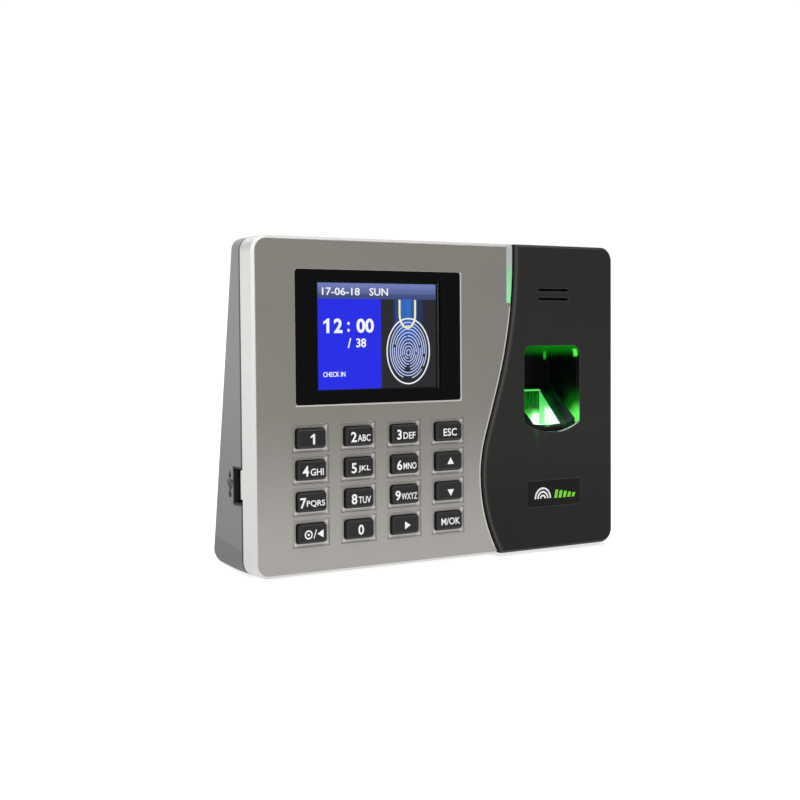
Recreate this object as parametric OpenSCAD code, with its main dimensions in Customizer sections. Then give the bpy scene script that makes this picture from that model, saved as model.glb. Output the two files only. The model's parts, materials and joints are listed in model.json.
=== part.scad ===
// Fingerprint scanner terminal: wedge-shaped case with a leaning front face, a colour display,
// sixteen keys and a lit finger well. Millimetres, +Z up, front faces -Y, wall side is +Y.
// The origin is the middle of the footprint, at the underside of the case.

/* [Overall size] */
// Width of the case from side to side
body_w = 185; // [165:1:205]
// Height of the front face, measured along its slope
face_h = 135.4; // [125:0.2:145]
// Depth from the foot of the front face to the wall plane
foot_depth = 39.6; // [36:0.2:46]
// Angle that the front face leans back from vertical
face_lean = 9; // [6:0.5:11]
// Corner radius of the front outline
corner_r = 6.2; // [4:0.5:12]
// Height of the foot of the front face above the underside
foot_lift = 1.6; // [1.6:0.1:3]

/* [Walls] */
// Wall thickness of the rear shell
shell_wall = 2.2; // [1.6:0.1:3]
// Wall thickness of the front bezel
bezel_wall = 2; // [1.6:0.1:3]
// Chamfer around the front edge of the bezel
rim_chamfer = 1.2; // [0.6:0.1:2]
// Distance from the face back to the seam between bezel and shell
seam_back = 10.2; // [9:0.1:12]
// Width of the seam groove
seam_w = 1.8; // [0.6:0.1:2.4]
// Rounding of the lower rear edge of the shell
rear_foot_r = 8; // [2:0.5:10]
// Rounding of the other rear edges of the shell
rear_edge_r = 2; // [1:0.5:4]

/* [Face plate] */
// Thickness of the brushed metal face plate
plate_t = 1.2; // [0.8:0.1:1.6]
// Thickness of the bezel web behind the face plate
web_t = 2; // [1.5:0.1:2.5]
// Width of the display window
window_w = 80.6; // [76:0.2:84]
// Height of the display window
window_h = 54.4; // [50:0.2:58]
// Width of the display's active area
screen_w = 57.6; // [50:0.1:60]
// Height of the display's active area
screen_h = 43.2; // [38:0.1:45]

/* [Keys] */
// Width of a key cap
key_w = 13.3; // [12:0.1:14.4]
// Height of a key cap
key_h = 7.7; // [7:0.1:9]
// How far a key cap stands out of the face plate
key_proud = 1.3; // [1:0.1:2]
// Distance a key moves when it is pressed
key_travel = 0.8; // [0.4:0.1:1]
// Distance between key columns
key_pitch_x = 22.35; // [20:0.05:24]
// Distance between key rows
key_pitch_y = 12.7; // [12.4:0.05:13.2]

/* [Finger well] */
// Width of the finger well opening
well_w = 32; // [28:0.5:34]
// Height of the finger well opening
well_h = 38.6; // [34:0.2:42]
// Depth of the finger well behind the face
well_depth = 20.5; // [16:0.5:21]
// Width of the glass platen
platen_w = 17.3; // [14:0.1:19]
// How far the scanner panel stands out of the face plate
panel_proud = 0.9; // [0.4:0.1:1.4]

/* [Rear] */
// Width of the rear connector bay
bay_w = 84; // [70:1:96]
// Height of the rear connector bay
bay_h = 26; // [22:1:28]
// Depth of the rear connector bay
bay_depth = 11; // [8:0.5:12]
// Radius of the wall screw holes in the bracket
wall_hole_r = 2.2; // [1.8:0.1:3]
// Horizontal distance between wall screw holes
wall_pitch_x = 76; // [70:2:78]
// Vertical distance between wall screw holes
wall_pitch_z = 54; // [50:1:56]

/* [Hidden] */
lean_sin = sin(face_lean);
lean_cos = cos(face_lean);
eps = 0.01;

// Panel edge and the most forward line of the case
panel_edge = 1;
front_reach = panel_proud * lean_cos - panel_edge * lean_sin;
face_y = (front_reach - foot_depth) / 2;
wall_y = face_y + foot_depth;

// Depths behind the face, along its normal
web_back = plate_t + web_t;
seam_end = seam_back + seam_w;
board_t = 1.6;
keyboard_front = 6.9;
keyboard_back = keyboard_front + board_t;
main_front = 9.3;
main_back = main_front + board_t;

// Display position
screen_x = -33.65;
screen_y = 95.6;
window_x = -33.4;
window_y = 95.3;
lens_t = 1.05;
lcd_front = plate_t + 0.15;
lcd_w = 69.2;
lcd_h = 50;
lcd_t = 2.6;

// Keys: column 0 is on the left, row 0 is on top
key_x0 = -67.1;
key_y0 = 54.9;
key_gap = 0.3;
ring_w = 1.4;
ring_depth = 0.3;
ring_step = 0.25;
flange_t = 1;
flange_lip = 1;
flange_front = web_back + 0.1;
flange_back = flange_front + flange_t;

// Dividing curve between face plate and scanner panel: upper arc, straight run, two lower arcs
curve_top_x = 35.1;
curve_top_y = 130.1;
upper_r = 193;
lower_r = 57;
foot_r = 68;
curve_angle = 17.53;
curve_low_y = 34.8;
straight_x1 = curve_top_x - upper_r * (1 - cos(curve_angle));
straight_y1 = curve_top_y - upper_r * sin(curve_angle);
straight_y2 = curve_low_y + lower_r * sin(curve_angle);
straight_x2 = straight_x1 - tan(curve_angle) * (straight_y1 - straight_y2);
curve_low_x = straight_x2 - lower_r * (1 - cos(curve_angle));
curve_gap = 1;

// Light pipe
pipe_x = 31.8;
pipe_y = 109.7;

// Scanner
well_x = 56.75;
well_top = 90.9;
well_foot = well_top - well_h;
well_cradle_r = 30;
well_back_w = 30.4;
well_back_top = well_top - 0.8;
well_back_foot = 72.9;
well_wall = 1.6;
well_back_wall = 1.2;
platen_top_y = 70.7;
platen_top_z = -19;
platen_foot_y = 54.8;
platen_foot_z = -3.2;
speaker_x = 57.5;
speaker_y = 113.6;
speaker_r = 10;
slot_w = 17.6;
slot_h = 1.3;
slot_pitch = 4;
badge_x = 57.5;
badge_y = 24.8;
badge_w = 30.7;
badge_h = 11.6;

// USB socket
usb_y = 36;
usb_z = -13.75;
usb_w = 13.2;
usb_h = 5.7;
usb_len = 14;
usb_opening_w = 15.6;
usb_opening_back = 19.3;
usb_mouth_x = -body_w / 2 + 2.3;

// Screw positions on the face, behind the front
case_x = 84.5;
case_y_low = 8.5;
case_y_top = 126.5;
board_holes = [[-73.5, 120.5], [29, 120.5], [29, 76], [-84, 60]];
keypad_holes = [[-56.1, 48.3], [-11.4, 48.3], [-56.1, 22.8], [-11.4, 22.8]];
sensor_ear_x = 19.9;
sensor_ear_y = 78;

// Rear bay, sockets and bracket, in upright coordinates
bay_z = 13;
bay_x = 4;
bay_floor = wall_y - bay_depth;
io_back = bay_floor - shell_wall - 2;
io_front = io_back - board_t;
bracket_t = 1.5;
bracket_recess = 1.5;
bracket_w = 124;
bracket_z0 = 4;
bracket_z1 = 116;
wall_holes_z = 81;
hook_x = 54;
net_x = -22;
jack_x = 38;
jack_r = 2.9;
socket_z = bay_z + bay_h / 2;
io_post_z = socket_z + 11.5;

// Places children drawn on the leaning face: x to the right, y up the slope, z out of the face
module on_face() {
    translate([0, face_y, foot_lift])
        rotate([90 - face_lean, 0, 0])
            children();
}

// Slab on the face between two depths
module slab(z0, z1) {
    translate([0, 0, z0])
        linear_extrude(z1 - z0)
            children();
}

module rounded(w, h, r) {
    square([w, h - 2 * r], center = true);
    square([w - 2 * r, h], center = true);
    for (sx = [-1, 1], sy = [-1, 1])
        translate([sx * (w / 2 - r), sy * (h / 2 - r)])
            circle(r, $fn = 32);
}

module outline(inset = 0) {
    translate([0, face_h / 2])
        rounded(body_w - 2 * inset, face_h - 2 * inset, corner_r - min(inset, corner_r - 1));
}

// Points down the dividing curve, shifted sideways to the right by off
function curve_points(off) = concat(
    [[curve_top_x + off, face_h + 5]],
    [for (a = [0:curve_angle / 8:curve_angle + eps])
        [curve_top_x - upper_r + (upper_r + off) * cos(a),
            curve_top_y - (upper_r + off) * sin(a)]],
    [for (a = [curve_angle:-curve_angle / 8:-eps])
        [curve_low_x + lower_r - (lower_r - off) * cos(a),
            curve_low_y + (lower_r - off) * sin(a)]],
    [for (a = [3.9:3.9:31.5])
        [curve_low_x + foot_r - (foot_r - off) * cos(a),
            curve_low_y - (foot_r - off) * sin(a)]]
);

module left_of_curve(off) {
    polygon(concat(curve_points(off), [[-body_w, -5], [-body_w, face_h + 5]]));
}

module right_of_curve(off) {
    polygon(concat(curve_points(off), [[body_w, -5], [body_w, face_h + 5]]));
}

// Solid of the case front with its chamfered rim
module front_solid() {
    hull() {
        slab(-seam_back, -rim_chamfer)
            outline();
        slab(-rim_chamfer - eps, 0)
            outline(rim_chamfer);
    }
}

module pipe_area(gap) {
    intersection() {
        left_of_curve(-gap);
        translate([pipe_x + gap, pipe_y + gap])
            square([20, 40]);
    }
}

module key_grid(columns = [0:3], rows = [0:3]) {
    for (i = columns, j = rows)
        translate([key_x0 + i * key_pitch_x, key_y0 - j * key_pitch_y])
            children();
}

module key_outline(grow) {
    rounded(key_w + 2 * grow, key_h + 2 * grow, 1.2 + grow * 0.7);
}

module well_outline(grow = 0) {
    translate([well_x, well_top]) {
        intersection() {
            translate([0, -25 + grow])
                rounded(well_w + 2 * grow, 50, 4 + grow);
            translate([0, well_cradle_r - well_h])
                union() {
                    circle(well_cradle_r + grow, $fn = 64);
                    translate([-20, 0])
                        square([40, 40]);
                }
        }
    }
}

// Space of the finger well, from the front opening to its back wall
module well_space(grow = 0, deep = 0) {
    hull() {
        slab(0.99, 1)
            well_outline(grow);
        slab(-well_depth - deep, -well_depth - deep + 0.01)
            translate([well_x, (well_back_top + well_back_foot) / 2])
                rounded(well_back_w + 2 * grow, well_back_top - well_back_foot + 2 * grow, 3);
    }
}

// Prism section: x runs up the face, y out of it
module prism_solid(grow = 0) {
    translate([well_x + platen_w / 2 + grow, 0, 0])
        rotate([90, 0, -90])
            linear_extrude(platen_w + 2 * grow)
                polygon([
                    [-platen_top_y - 2.4 * grow, platen_top_z - grow],
                    [-platen_foot_y + grow, platen_foot_z + 2.4 * grow],
                    [-platen_foot_y + grow, platen_top_z - grow]
                ]);
}

// Pan head screw pointing into the face: head on the rear side
module screw(z_head, length, r, head_r, head_t) {
    translate([0, 0, z_head - head_t])
        difference() {
            cylinder(head_t, r = head_r, $fn = 32);
            for (a = [0, 90])
                rotate(a)
                    translate([-head_r * 0.6, -0.3, -eps])
                        cube([head_r * 1.2, 0.6, head_t * 0.5]);
        }
    translate([0, 0, z_head])
        cylinder(length, r = r, $fn = 32);
}

module case_spots() {
    for (sx = [-1, 1], y = [case_y_low, case_y_top])
        translate([sx * case_x, y])
            children();
}

module front_bezel() {
    color("#c8ccd0")
        on_face()
            difference() {
                union() {
                    // Silver rim and side wall on the keypad side
                    difference() {
                        front_solid();
                        slab(-plate_t, 1)
                            outline(rim_chamfer);
                        slab(-seam_back - 1, -web_back)
                            outline(bezel_wall);
                        slab(-seam_back - 1, 1)
                            right_of_curve(-0.25);
                    }
                    // Web and inner skirt that carry the scanner panel
                    difference() {
                        slab(-seam_back, -plate_t)
                            intersection() {
                                outline(bezel_wall + 0.2);
                                right_of_curve(-0.3);
                            }
                        slab(-seam_back - 1, -web_back)
                            outline(bezel_wall + 1.8);
                    }
                    // Tab over the USB socket
                    translate([-body_w / 2, usb_y - 5, -seam_back - 1.6])
                        cube([bezel_wall, 11.6, 1.6 + eps]);
                    // Bosses
                    case_bosses();
                    for (p = board_holes)
                        translate([p[0], p[1], -main_front])
                            cylinder(main_front - web_back + eps, r = 2.8, $fn = 32);
                    for (p = keypad_holes)
                        translate([p[0], p[1], -keyboard_front])
                            cylinder(keyboard_front - web_back + eps, r = 2, $fn = 32);
                }
                slab(-10, 0)
                    translate([screen_x, screen_y])
                        square([lcd_w + 1, lcd_h + 1], center = true);
                slab(-10, 0)
                    key_grid()
                        key_outline(key_gap);
                slab(-10, 0)
                    translate([well_x, (well_top + well_foot) / 2])
                        square([well_w + 15, well_h + 8], center = true);
                slab(-10, 0)
                    translate([speaker_x, speaker_y])
                        circle(speaker_r - 0.8, $fn = 64);
                // Slot for the light pipe
                slab(-plate_t - 0.05, 1)
                    pipe_area(0);
                translate([31.9, 117.4, -6])
                    cube([2.9, 7.2, 6]);
                // Pilot holes
                case_spots()
                    translate([0, 0, -seam_end - 1])
                        cylinder(8, r = 1.2, $fn = 32);
                for (p = board_holes)
                    translate([p[0], p[1], -main_front - 1])
                        cylinder(6, r = 0.95, $fn = 32);
                for (p = keypad_holes)
                    translate([p[0], p[1], -keyboard_front - 1])
                        cylinder(4.2, r = 0.7, $fn = 32);
            }
}

module case_bosses() {
    case_spots()
        translate([0, 0, -seam_end])
            cylinder(seam_end - web_back + eps, r = 3, $fn = 32);
}

module face_plate() {
    color("#8f8b84")
        on_face()
            difference() {
                slab(-plate_t, 0)
                    intersection() {
                        outline(rim_chamfer + 0.1);
                        left_of_curve(0);
                    }
                slab(-3, 1)
                    translate([window_x, window_y])
                        rounded(window_w, window_h, 1.5);
                slab(-3, 1)
                    key_grid()
                        key_outline(key_gap);
                // Dished rim around each key
                slab(-ring_depth, 1)
                    key_grid()
                        key_outline(key_gap + ring_w);
                slab(-ring_depth - ring_step, 1)
                    key_grid()
                        key_outline(key_gap + ring_w / 2);
                slab(-3, 1)
                    pipe_area(0);
            }
}

module scanner_panel() {
    color("#2b2b2d")
        on_face()
            difference() {
                union() {
                    difference() {
                        union() {
                            difference() {
                                intersection() {
                                    panel_block();
                                    slab(-40, 5)
                                        right_of_curve(curve_gap);
                                }
                                curve_bevel();
                            }
                            slab(-plate_t + 0.1, -0.7)
                                panel_area(0.4, 0.1);
                        }
                        slab(-seam_back - 1, -plate_t + 0.1)
                            intersection() {
                                outline(bezel_wall);
                                right_of_curve(-1);
                            }
                        slab(-seam_back - 1, -plate_t + 0.1)
                            left_of_curve(2);
                    }
                    // Bosses for the scanner screws
                    for (s = [-1, 1])
                        translate([well_x + s * sensor_ear_x, sensor_ear_y, -6.1])
                            cylinder(6.1 - plate_t + 0.2, r = 2.1, $fn = 32);
                }
                slab(-3, 2)
                    well_outline();
                for (s = [-1, 1])
                    slab(-3, 2)
                        translate([speaker_x, speaker_y + s * slot_pitch / 2])
                            rounded(slot_w, slot_h, slot_h / 2 - eps);
                slab(panel_proud - 0.5, 2)
                    translate([badge_x, badge_y])
                        square([badge_w, badge_h], center = true);
                for (s = [-1, 1])
                    translate([well_x + s * sensor_ear_x, sensor_ear_y, -7])
                        cylinder(5, r = 0.8, $fn = 32);
            }
}

module panel_area(inset, off) {
    intersection() {
        outline(inset);
        right_of_curve(off);
    }
}

// Scanner panel before it is cut along the dividing curve
module panel_block() {
    hull() {
        slab(-seam_back, panel_proud - panel_edge)
            outline();
        slab(panel_proud - panel_edge, panel_proud)
            outline(panel_edge);
    }
}

// Cutter section: the edge lies on x = 0, the panel towards +x
module bevel_section() {
    polygon([
        [-1, -panel_edge - 0.9],
        [0.7, -0.36],
        [2.63, 0.1],
        [-1, 0.1]
    ]);
}

module bevel_ring(x, y, r, side) {
    translate([x, y, panel_proud])
        rotate_extrude($fn = 360)
            translate([r, 0])
                scale([side, 1])
                    bevel_section();
}

// Bevel along the dividing curve
module curve_bevel() {
    low_x = curve_low_x + lower_r;
    foot_x = curve_low_x + foot_r;
    bevel_ring(curve_top_x - upper_r, curve_top_y, upper_r + curve_gap, 1);
    intersection() {
        bevel_ring(low_x, curve_low_y, lower_r - curve_gap, -1);
        translate([curve_low_x - 2, curve_low_y, -5])
            cube([10, straight_y2 - curve_low_y, 10]);
    }
    intersection() {
        bevel_ring(foot_x, curve_low_y, foot_r - curve_gap, -1);
        translate([curve_low_x - 2, -5, -5])
            cube([18, curve_low_y + 5, 10]);
    }
    bevel_run([curve_top_x + curve_gap, curve_top_y], 0, 10);
    bevel_run(
        [straight_x2 + curve_gap * cos(curve_angle), straight_y2 - curve_gap * sin(curve_angle)],
        -curve_angle, norm([straight_x1 - straight_x2, straight_y1 - straight_y2])
    );
}

// Straight bevel that starts at a point and runs up the face, turned by an angle
module bevel_run(start, angle, length) {
    translate([start[0], start[1], panel_proud])
        rotate([0, 0, angle])
            rotate([90, 0, 0])
                translate([0, 0, -length])
                    linear_extrude(length)
                        bevel_section();
}

module light_pipe() {
    color("#b9ecc6")
        on_face() {
            intersection() {
                front_solid();
                slab(-plate_t, 0)
                    pipe_area(0.1);
            }
            translate([32.1, 117.6, -5.4])
                cube([2.5, 6.8, 5.4 - plate_t + eps]);
        }
}

module window_lens() {
    color("#101010")
        on_face()
            slab(-plate_t, -plate_t + lens_t)
                translate([window_x, window_y])
                    rounded(window_w - 0.3, window_h - 0.3, 1.35);
}

module badge_inlay() {
    color("#1c1c1e")
        on_face()
            slab(panel_proud - 0.5, panel_proud)
                translate([badge_x, badge_y])
                    square([badge_w - 0.1, badge_h - 0.1], center = true);
}

module lcd_panel() {
    color("#2030d0")
        on_face()
            slab(-lcd_front - 1.2, -lcd_front - 0.2)
                translate([screen_x, screen_y])
                    square([screen_w + 4, screen_h + 3], center = true);
}

module lcd_frame() {
    color("#b8bcc0")
        on_face()
            translate([screen_x, screen_y, 0])
                difference() {
                    slab(-lcd_front - lcd_t, -lcd_front)
                        square([lcd_w, lcd_h], center = true);
                    slab(-lcd_front - 5, 1)
                        square([screen_w + 2, screen_h + 2], center = true);
                    slab(-lcd_front - 5, -lcd_front - 0.2)
                        square([lcd_w - 0.6, lcd_h - 0.6], center = true);
                }
}

module lcd_backlight() {
    color("#f2f2ee")
        on_face()
            translate([screen_x, screen_y, 0])
                difference() {
                    slab(-lcd_front - lcd_t + 0.05, -lcd_front - 0.2)
                        square([lcd_w - 0.7, lcd_h - 0.7], center = true);
                    slab(-lcd_front - 1.2, 0)
                        square([screen_w + 4, screen_h + 3], center = true);
                }
}

module keypad_mat() {
    color("#d8d8d4")
        on_face()
            difference() {
                union() {
                    slab(-keyboard_front, -keyboard_front + 0.9)
                        translate([key_x0 + 1.5 * key_pitch_x, key_y0 - 1.5 * key_pitch_y])
                            rounded(86, 50, 3);
                    key_grid()
                        translate([0, 0, -keyboard_front + 0.9 - eps])
                            cylinder(keyboard_front - 0.9 - flange_back - 0.05, r1 = 4.2, r2 = 3.2,
                                $fn = 32);
                }
                for (p = keypad_holes)
                    translate([p[0], p[1], -10])
                        cylinder(10, r = 2.4, $fn = 32);
            }
}

module keypad_board() {
    color("#1f6b45")
        on_face()
            difference() {
                slab(-keyboard_back, -keyboard_front)
                    translate([key_x0 + 1.5 * key_pitch_x, key_y0 - 1.5 * key_pitch_y + 0.4])
                        square([88, 52.8], center = true);
                for (p = keypad_holes)
                    translate([p[0], p[1], -10])
                        cylinder(10, r = 1.1, $fn = 32);
            }
}

module keycap(column, row) {
    color("#2e2e30")
        on_face()
            translate([key_x0 + column * key_pitch_x, key_y0 - row * key_pitch_y, 0]) {
                hull() {
                    slab(-flange_front - eps, key_proud - 0.9)
                        key_outline(0);
                    slab(key_proud - 0.9, key_proud - 0.3)
                        key_outline(-0.2);
                    slab(key_proud - 0.3, key_proud)
                        key_outline(-0.7);
                }
                slab(-flange_back, -flange_front)
                    key_outline(flange_lip);
            }
}

module key_1() {
    keycap(0, 0);
}

module key_2() {
    keycap(1, 0);
}

module key_3() {
    keycap(2, 0);
}

module key_esc() {
    keycap(3, 0);
}

module key_4() {
    keycap(0, 1);
}

module key_5() {
    keycap(1, 1);
}

module key_6() {
    keycap(2, 1);
}

module key_up() {
    keycap(3, 1);
}

module key_7() {
    keycap(0, 2);
}

module key_8() {
    keycap(1, 2);
}

module key_9() {
    keycap(2, 2);
}

module key_down() {
    keycap(3, 2);
}

module key_power() {
    keycap(0, 3);
}

module key_0() {
    keycap(1, 3);
}

module key_right() {
    keycap(2, 3);
}

module key_ok() {
    keycap(3, 3);
}

module main_board() {
    color("#1d5f86")
        on_face()
            difference() {
                slab(-main_back, -main_front) {
                    translate([-77.5, 64])
                        square([111.5, 62]);
                    translate([-88.5, 24])
                        square([28, 46]);
                }
                for (p = board_holes)
                    translate([p[0], p[1], -20])
                        cylinder(20, r = 1.2, $fn = 32);
            }
}

module main_chips() {
    color("#202022")
        on_face() {
            chip(-40, 92, 17, 17, 1.4);
            chip(-16, 92, 11, 14, 1.2);
            chip(-16, 108, 8, 8, 1);
            chip(-62, 100, 7, 9, 1);
            chip(-62, 84, 9, 6, 1.6);
            chip(14, 78, 12, 9, 2.2);
            chip(-40, 112, 6, 5, 1.2);
            chip(22, 100, 5, 12, 2.8);
            chip(-27, 69, 16, 4, 2);
            chip(30.2, 84, 5, 10, 2);
        }
}

// Flat component on the rear side of the main board
module chip(x, y, w, h, t) {
    translate([x - w / 2, y - h / 2, -main_back - t])
        cube([w, h, t]);
}

module coin_cell() {
    color("#c4c6c8")
        on_face()
            translate([6, 100, -main_back - 4.1])
                cylinder(3.2, r = 10, $fn = 64);
}

module usb_shell() {
    color("#d4d6d8")
        on_face()
            translate([usb_mouth_x, usb_y, usb_z])
                difference() {
                    translate([0, -usb_w / 2, -usb_h / 2])
                        cube([usb_len, usb_w, usb_h]);
                    translate([-1, -usb_w / 2 + 0.35, -usb_h / 2 + 0.35])
                        cube([usb_len, usb_w - 0.7, usb_h - 0.7]);
                }
}

module usb_tongue() {
    color("#f4f4f2")
        on_face()
            translate([usb_mouth_x, usb_y, usb_z])
                translate([1.4, -5.6, 0])
                    cube([usb_len - 2.41, 11.2, 1.9]);
}

module status_leds() {
    color("#e8f4ea")
        on_face()
            for (y = [119.4, 122.6])
                translate([32.3, y - 0.8, -main_front])
                    cube([2, 1.6, 1.1]);
}

module finger_well() {
    color("#1a1a1c")
        on_face()
            difference() {
                union() {
                    intersection() {
                        well_space(well_wall, well_back_wall);
                        slab(-40, -plate_t + 0.05)
                            square([400, 400], center = true);
                    }
                    for (s = [-1, 1])
                        translate([well_x + s * sensor_ear_x, sensor_ear_y, -8.2])
                            ear(s);
                }
                well_space();
                platen_cut();
                for (s = [-1, 1])
                    translate([well_x + s * sensor_ear_x, sensor_ear_y, -10])
                        cylinder(6, r = 1.1, $fn = 32);
            }
}

module ear(s) {
    cylinder(2, r = 2.6, $fn = 32);
    translate([s > 0 ? -3.4 : 0, -2.6, 0])
        cube([3.4, 5.2, 2]);
}

// Opening through the floor of the well, square to the platen
module platen_cut() {
    hull() {
        prism_solid(0.12);
        translate([0, 6, 6])
            prism_solid(0.12);
    }
}

module sensor_prism() {
    color("#9df2b0")
        on_face()
            prism_solid();
}

module sensor_housing() {
    color("#242426")
        on_face()
            difference() {
                translate([well_x - 11, 49.6, -22.8])
                    cube([22, 22.6, 18.8]);
                well_space(well_wall + 0.15, well_back_wall + 0.15);
                platen_cut();
                // Light chamber under the prism
                translate([well_x - 9, 51.6, -17.6])
                    cube([18, 3.4, 20]);
                // Lens bore behind the prism
                translate([well_x, 62.5, -25])
                    cylinder(8, r = 5.05, $fn = 64);
            }
}

module led_board() {
    color("#1c6e46")
        on_face()
            translate([well_x - 8.8, 51.7, -17.4])
                cube([17.6, 1.2, 12.4]);
}

module sensor_leds() {
    color("#baffc8")
        on_face()
            for (x = [-6, -2, 2, 6], z = [-8, -14])
                translate([well_x + x - 0.9, 52.9, z - 0.7])
                    cube([1.8, 0.9, 1.4]);
}

module sensor_lens() {
    color("#303034")
        on_face()
            difference() {
                translate([well_x, 62.5, -22.7])
                    cylinder(3.4, r = 5, $fn = 64);
                translate([well_x, 62.5, -18.3])
                    sphere(2.4, $fn = 48);
                translate([well_x, 62.5, -23])
                    cylinder(1.9, r = 3.4, $fn = 64);
            }
}

module image_board() {
    color("#1c6e46")
        on_face() {
            translate([well_x - 11, 50, -24])
                cube([22, 22, 1.2]);
            translate([well_x - 2.2, 60.3, -22.8 - eps])
                cube([4.4, 4.4, 0.8]);
        }
}

module speaker() {
    color("#8a8d90")
        on_face()
            translate([speaker_x, speaker_y, 0])
                difference() {
                    union() {
                        translate([0, 0, -7.4])
                            cylinder(4.1, r = speaker_r, $fn = 64);
                        translate([0, 0, -9.2])
                            cylinder(1.9, r = 6, $fn = 64);
                    }
                    translate([0, 0, -6.6])
                        cylinder(4, r = speaker_r - 0.7, $fn = 64);
                }
}

module speaker_cone() {
    color("#161616")
        on_face()
            translate([speaker_x, speaker_y, -6.4])
                difference() {
                    cylinder(2.4, r1 = 4, r2 = speaker_r - 0.9, $fn = 64);
                    translate([0, 0, 0.5])
                        cylinder(2.4, r1 = 3.8, r2 = speaker_r - 0.9, $fn = 64);
                }
}

// Side profile of the shell in upright coordinates: x is depth, y is height
module shell_profile(inset) {
    y1 = wall_y - inset;
    foot = max(rear_foot_r - inset, 0.5);
    top = 160;
    polygon(concat(
        [[face_y - 20, inset]],
        [for (a = [-90:15:0])
            [y1 - foot + foot * cos(a), inset + foot + foot * sin(a)]],
        [[y1, top], [face_y - 20, top]]
    ));
}

// Plan of the shell in upright coordinates: x is width, y is depth
module shell_plan(inset) {
    y1 = wall_y - inset;
    x1 = body_w / 2 + 2;
    side = body_w / 2 - 0.2 - inset;
    r = max(rear_edge_r - inset, 0.4);
    polygon(concat(
        [[-x1, face_y - 20]],
        [[-x1, y1 - r - 1], [-side, y1 - r - 1]],
        [for (a = [180:-22.5:90])
            [-side + r + r * cos(a), y1 - r + r * sin(a)]],
        [for (a = [90:-22.5:0])
            [side - r + r * cos(a), y1 - r + r * sin(a)]],
        [[side, y1 - r - 1], [x1, y1 - r - 1], [x1, face_y - 20]]
    ));
}

module shell_solid(inset) {
    intersection() {
        on_face()
            slab(-80, inset > 0 ? 0 : -seam_end)
                outline(0.2 + inset);
        translate([-150, 0, 0])
            rotate([90, 0, 90])
                linear_extrude(300)
                    shell_profile(inset);
        translate([0, 0, -10])
            linear_extrude(200)
                shell_plan(inset);
    }
}

// Column from the rear wall to a case screw, with room for its head
module screw_tower(r) {
    translate([0, 0, -60])
        cylinder(60 - seam_end - 0.2, r = r, $fn = 32);
}

module back_shell() {
    color("#8f8d8e")
        difference() {
            union() {
                difference() {
                    shell_solid(0);
                    shell_solid(shell_wall);
                }
                intersection() {
                    shell_solid(0);
                    union() {
                        on_face()
                            case_spots()
                                screw_tower(4.6);
                        shell_blocks();
                    }
                }
            }
            // Screw columns: shank hole and head counterbore
            on_face()
                case_spots() {
                    translate([0, 0, -20])
                        cylinder(20, r = 1.6, $fn = 32);
                    translate([0, 0, -70])
                        cylinder(70 - seam_end - 2.4, r = 3.1, $fn = 32);
                }
            // Connector bay
            translate([bay_x - bay_w / 2, bay_floor, bay_z])
                cube([bay_w, bay_depth + 1, bay_h]);
            // Cut-outs in the bay floor
            socket_cut(net_x, 16.4, 15.4);
            socket_cut(jack_x, 11.4, 12.4);
            socket_cut(0, 18.2, 9.2);
            socket_cut(22, 11.2, 9.2);
            // Recess for the wall bracket
            translate([-bracket_w / 2 - 0.4, wall_y - bracket_recess, bracket_z0 - 0.4])
                cube([bracket_w + 0.8, 5, bracket_z1 - bracket_z0 + 0.8]);
            // Room for the wall screw heads
            for (sx = [-1, 1], sz = [-1, 1])
                wall_spot(sx, sz, -bracket_recess - 3.2)
                    cylinder(5, r = 5.2, $fn = 32);
            // Slots for the bracket hooks and its foot tab
            for (sx = [-1, 1])
                translate([sx * hook_x - 6.5, wall_y - 10, 102])
                    cube([13, 12, 7]);
            translate([-8, wall_y - 10, bracket_z0 - 0.15])
                cube([16, 12, bracket_t + 0.3]);
            // Lock screw hole in the underside
            translate([0, wall_y - 6.5, -1])
                cylinder(6, r = 1.6, $fn = 32);
            translate([0, wall_y - 6.5, -1])
                cylinder(2.1, r = 2.9, $fn = 32);
            // USB opening at the seam
            on_face()
                translate([-body_w / 2 - 5, usb_y - usb_opening_w / 2, -usb_opening_back])
                    cube([8, usb_opening_w, 10]);
        }
}

module wall_spot(sx, sz, dy) {
    translate([sx * wall_pitch_x / 2, wall_y + dy, wall_holes_z + sz * wall_pitch_z / 2])
        rotate([-90, 0, 0])
            children();
}

module socket_cut(x, w, h) {
    translate([x - w / 2, bay_floor - 5, socket_z - h / 2])
        cube([w, 10, h]);
}

// Thickened areas inside the shell
module shell_blocks() {
    // Box around the connector bay
    translate([bay_x - bay_w / 2 - 2, bay_floor - shell_wall, bay_z - 2])
        cube([bay_w + 4, bay_depth + shell_wall, bay_h + 4]);
    // Pad behind the bracket recess
    translate([-bracket_w / 2 - 2.4, wall_y - bracket_recess - 2, 0])
        cube([bracket_w + 4.8, bracket_recess + 2, bracket_z1 + 2.4]);
    // Cups around the wall screw heads
    for (sx = [-1, 1], sz = [-1, 1])
        wall_spot(sx, sz, -bracket_recess - 4.8)
            cylinder(5, r = 7, $fn = 32);
    // Boss for the lock screw
    translate([0, wall_y - 6.5, 0])
        cylinder(3.8, r = 5, $fn = 32);
    // Posts for the connector board
    for (s = [-1, 1])
        translate([bay_x + s * 36, io_back, io_post_z])
            rotate([-90, 0, 0])
                cylinder(3, r = 3, $fn = 32);
}

// Block in the USB opening, smaller than the opening by the inset
module usb_block(inset, x, depth, top) {
    w = usb_opening_w - 2 * inset;
    translate([x, usb_y - w / 2, -usb_opening_back + inset])
        cube([depth, w, top + usb_opening_back - inset]);
}

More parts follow.
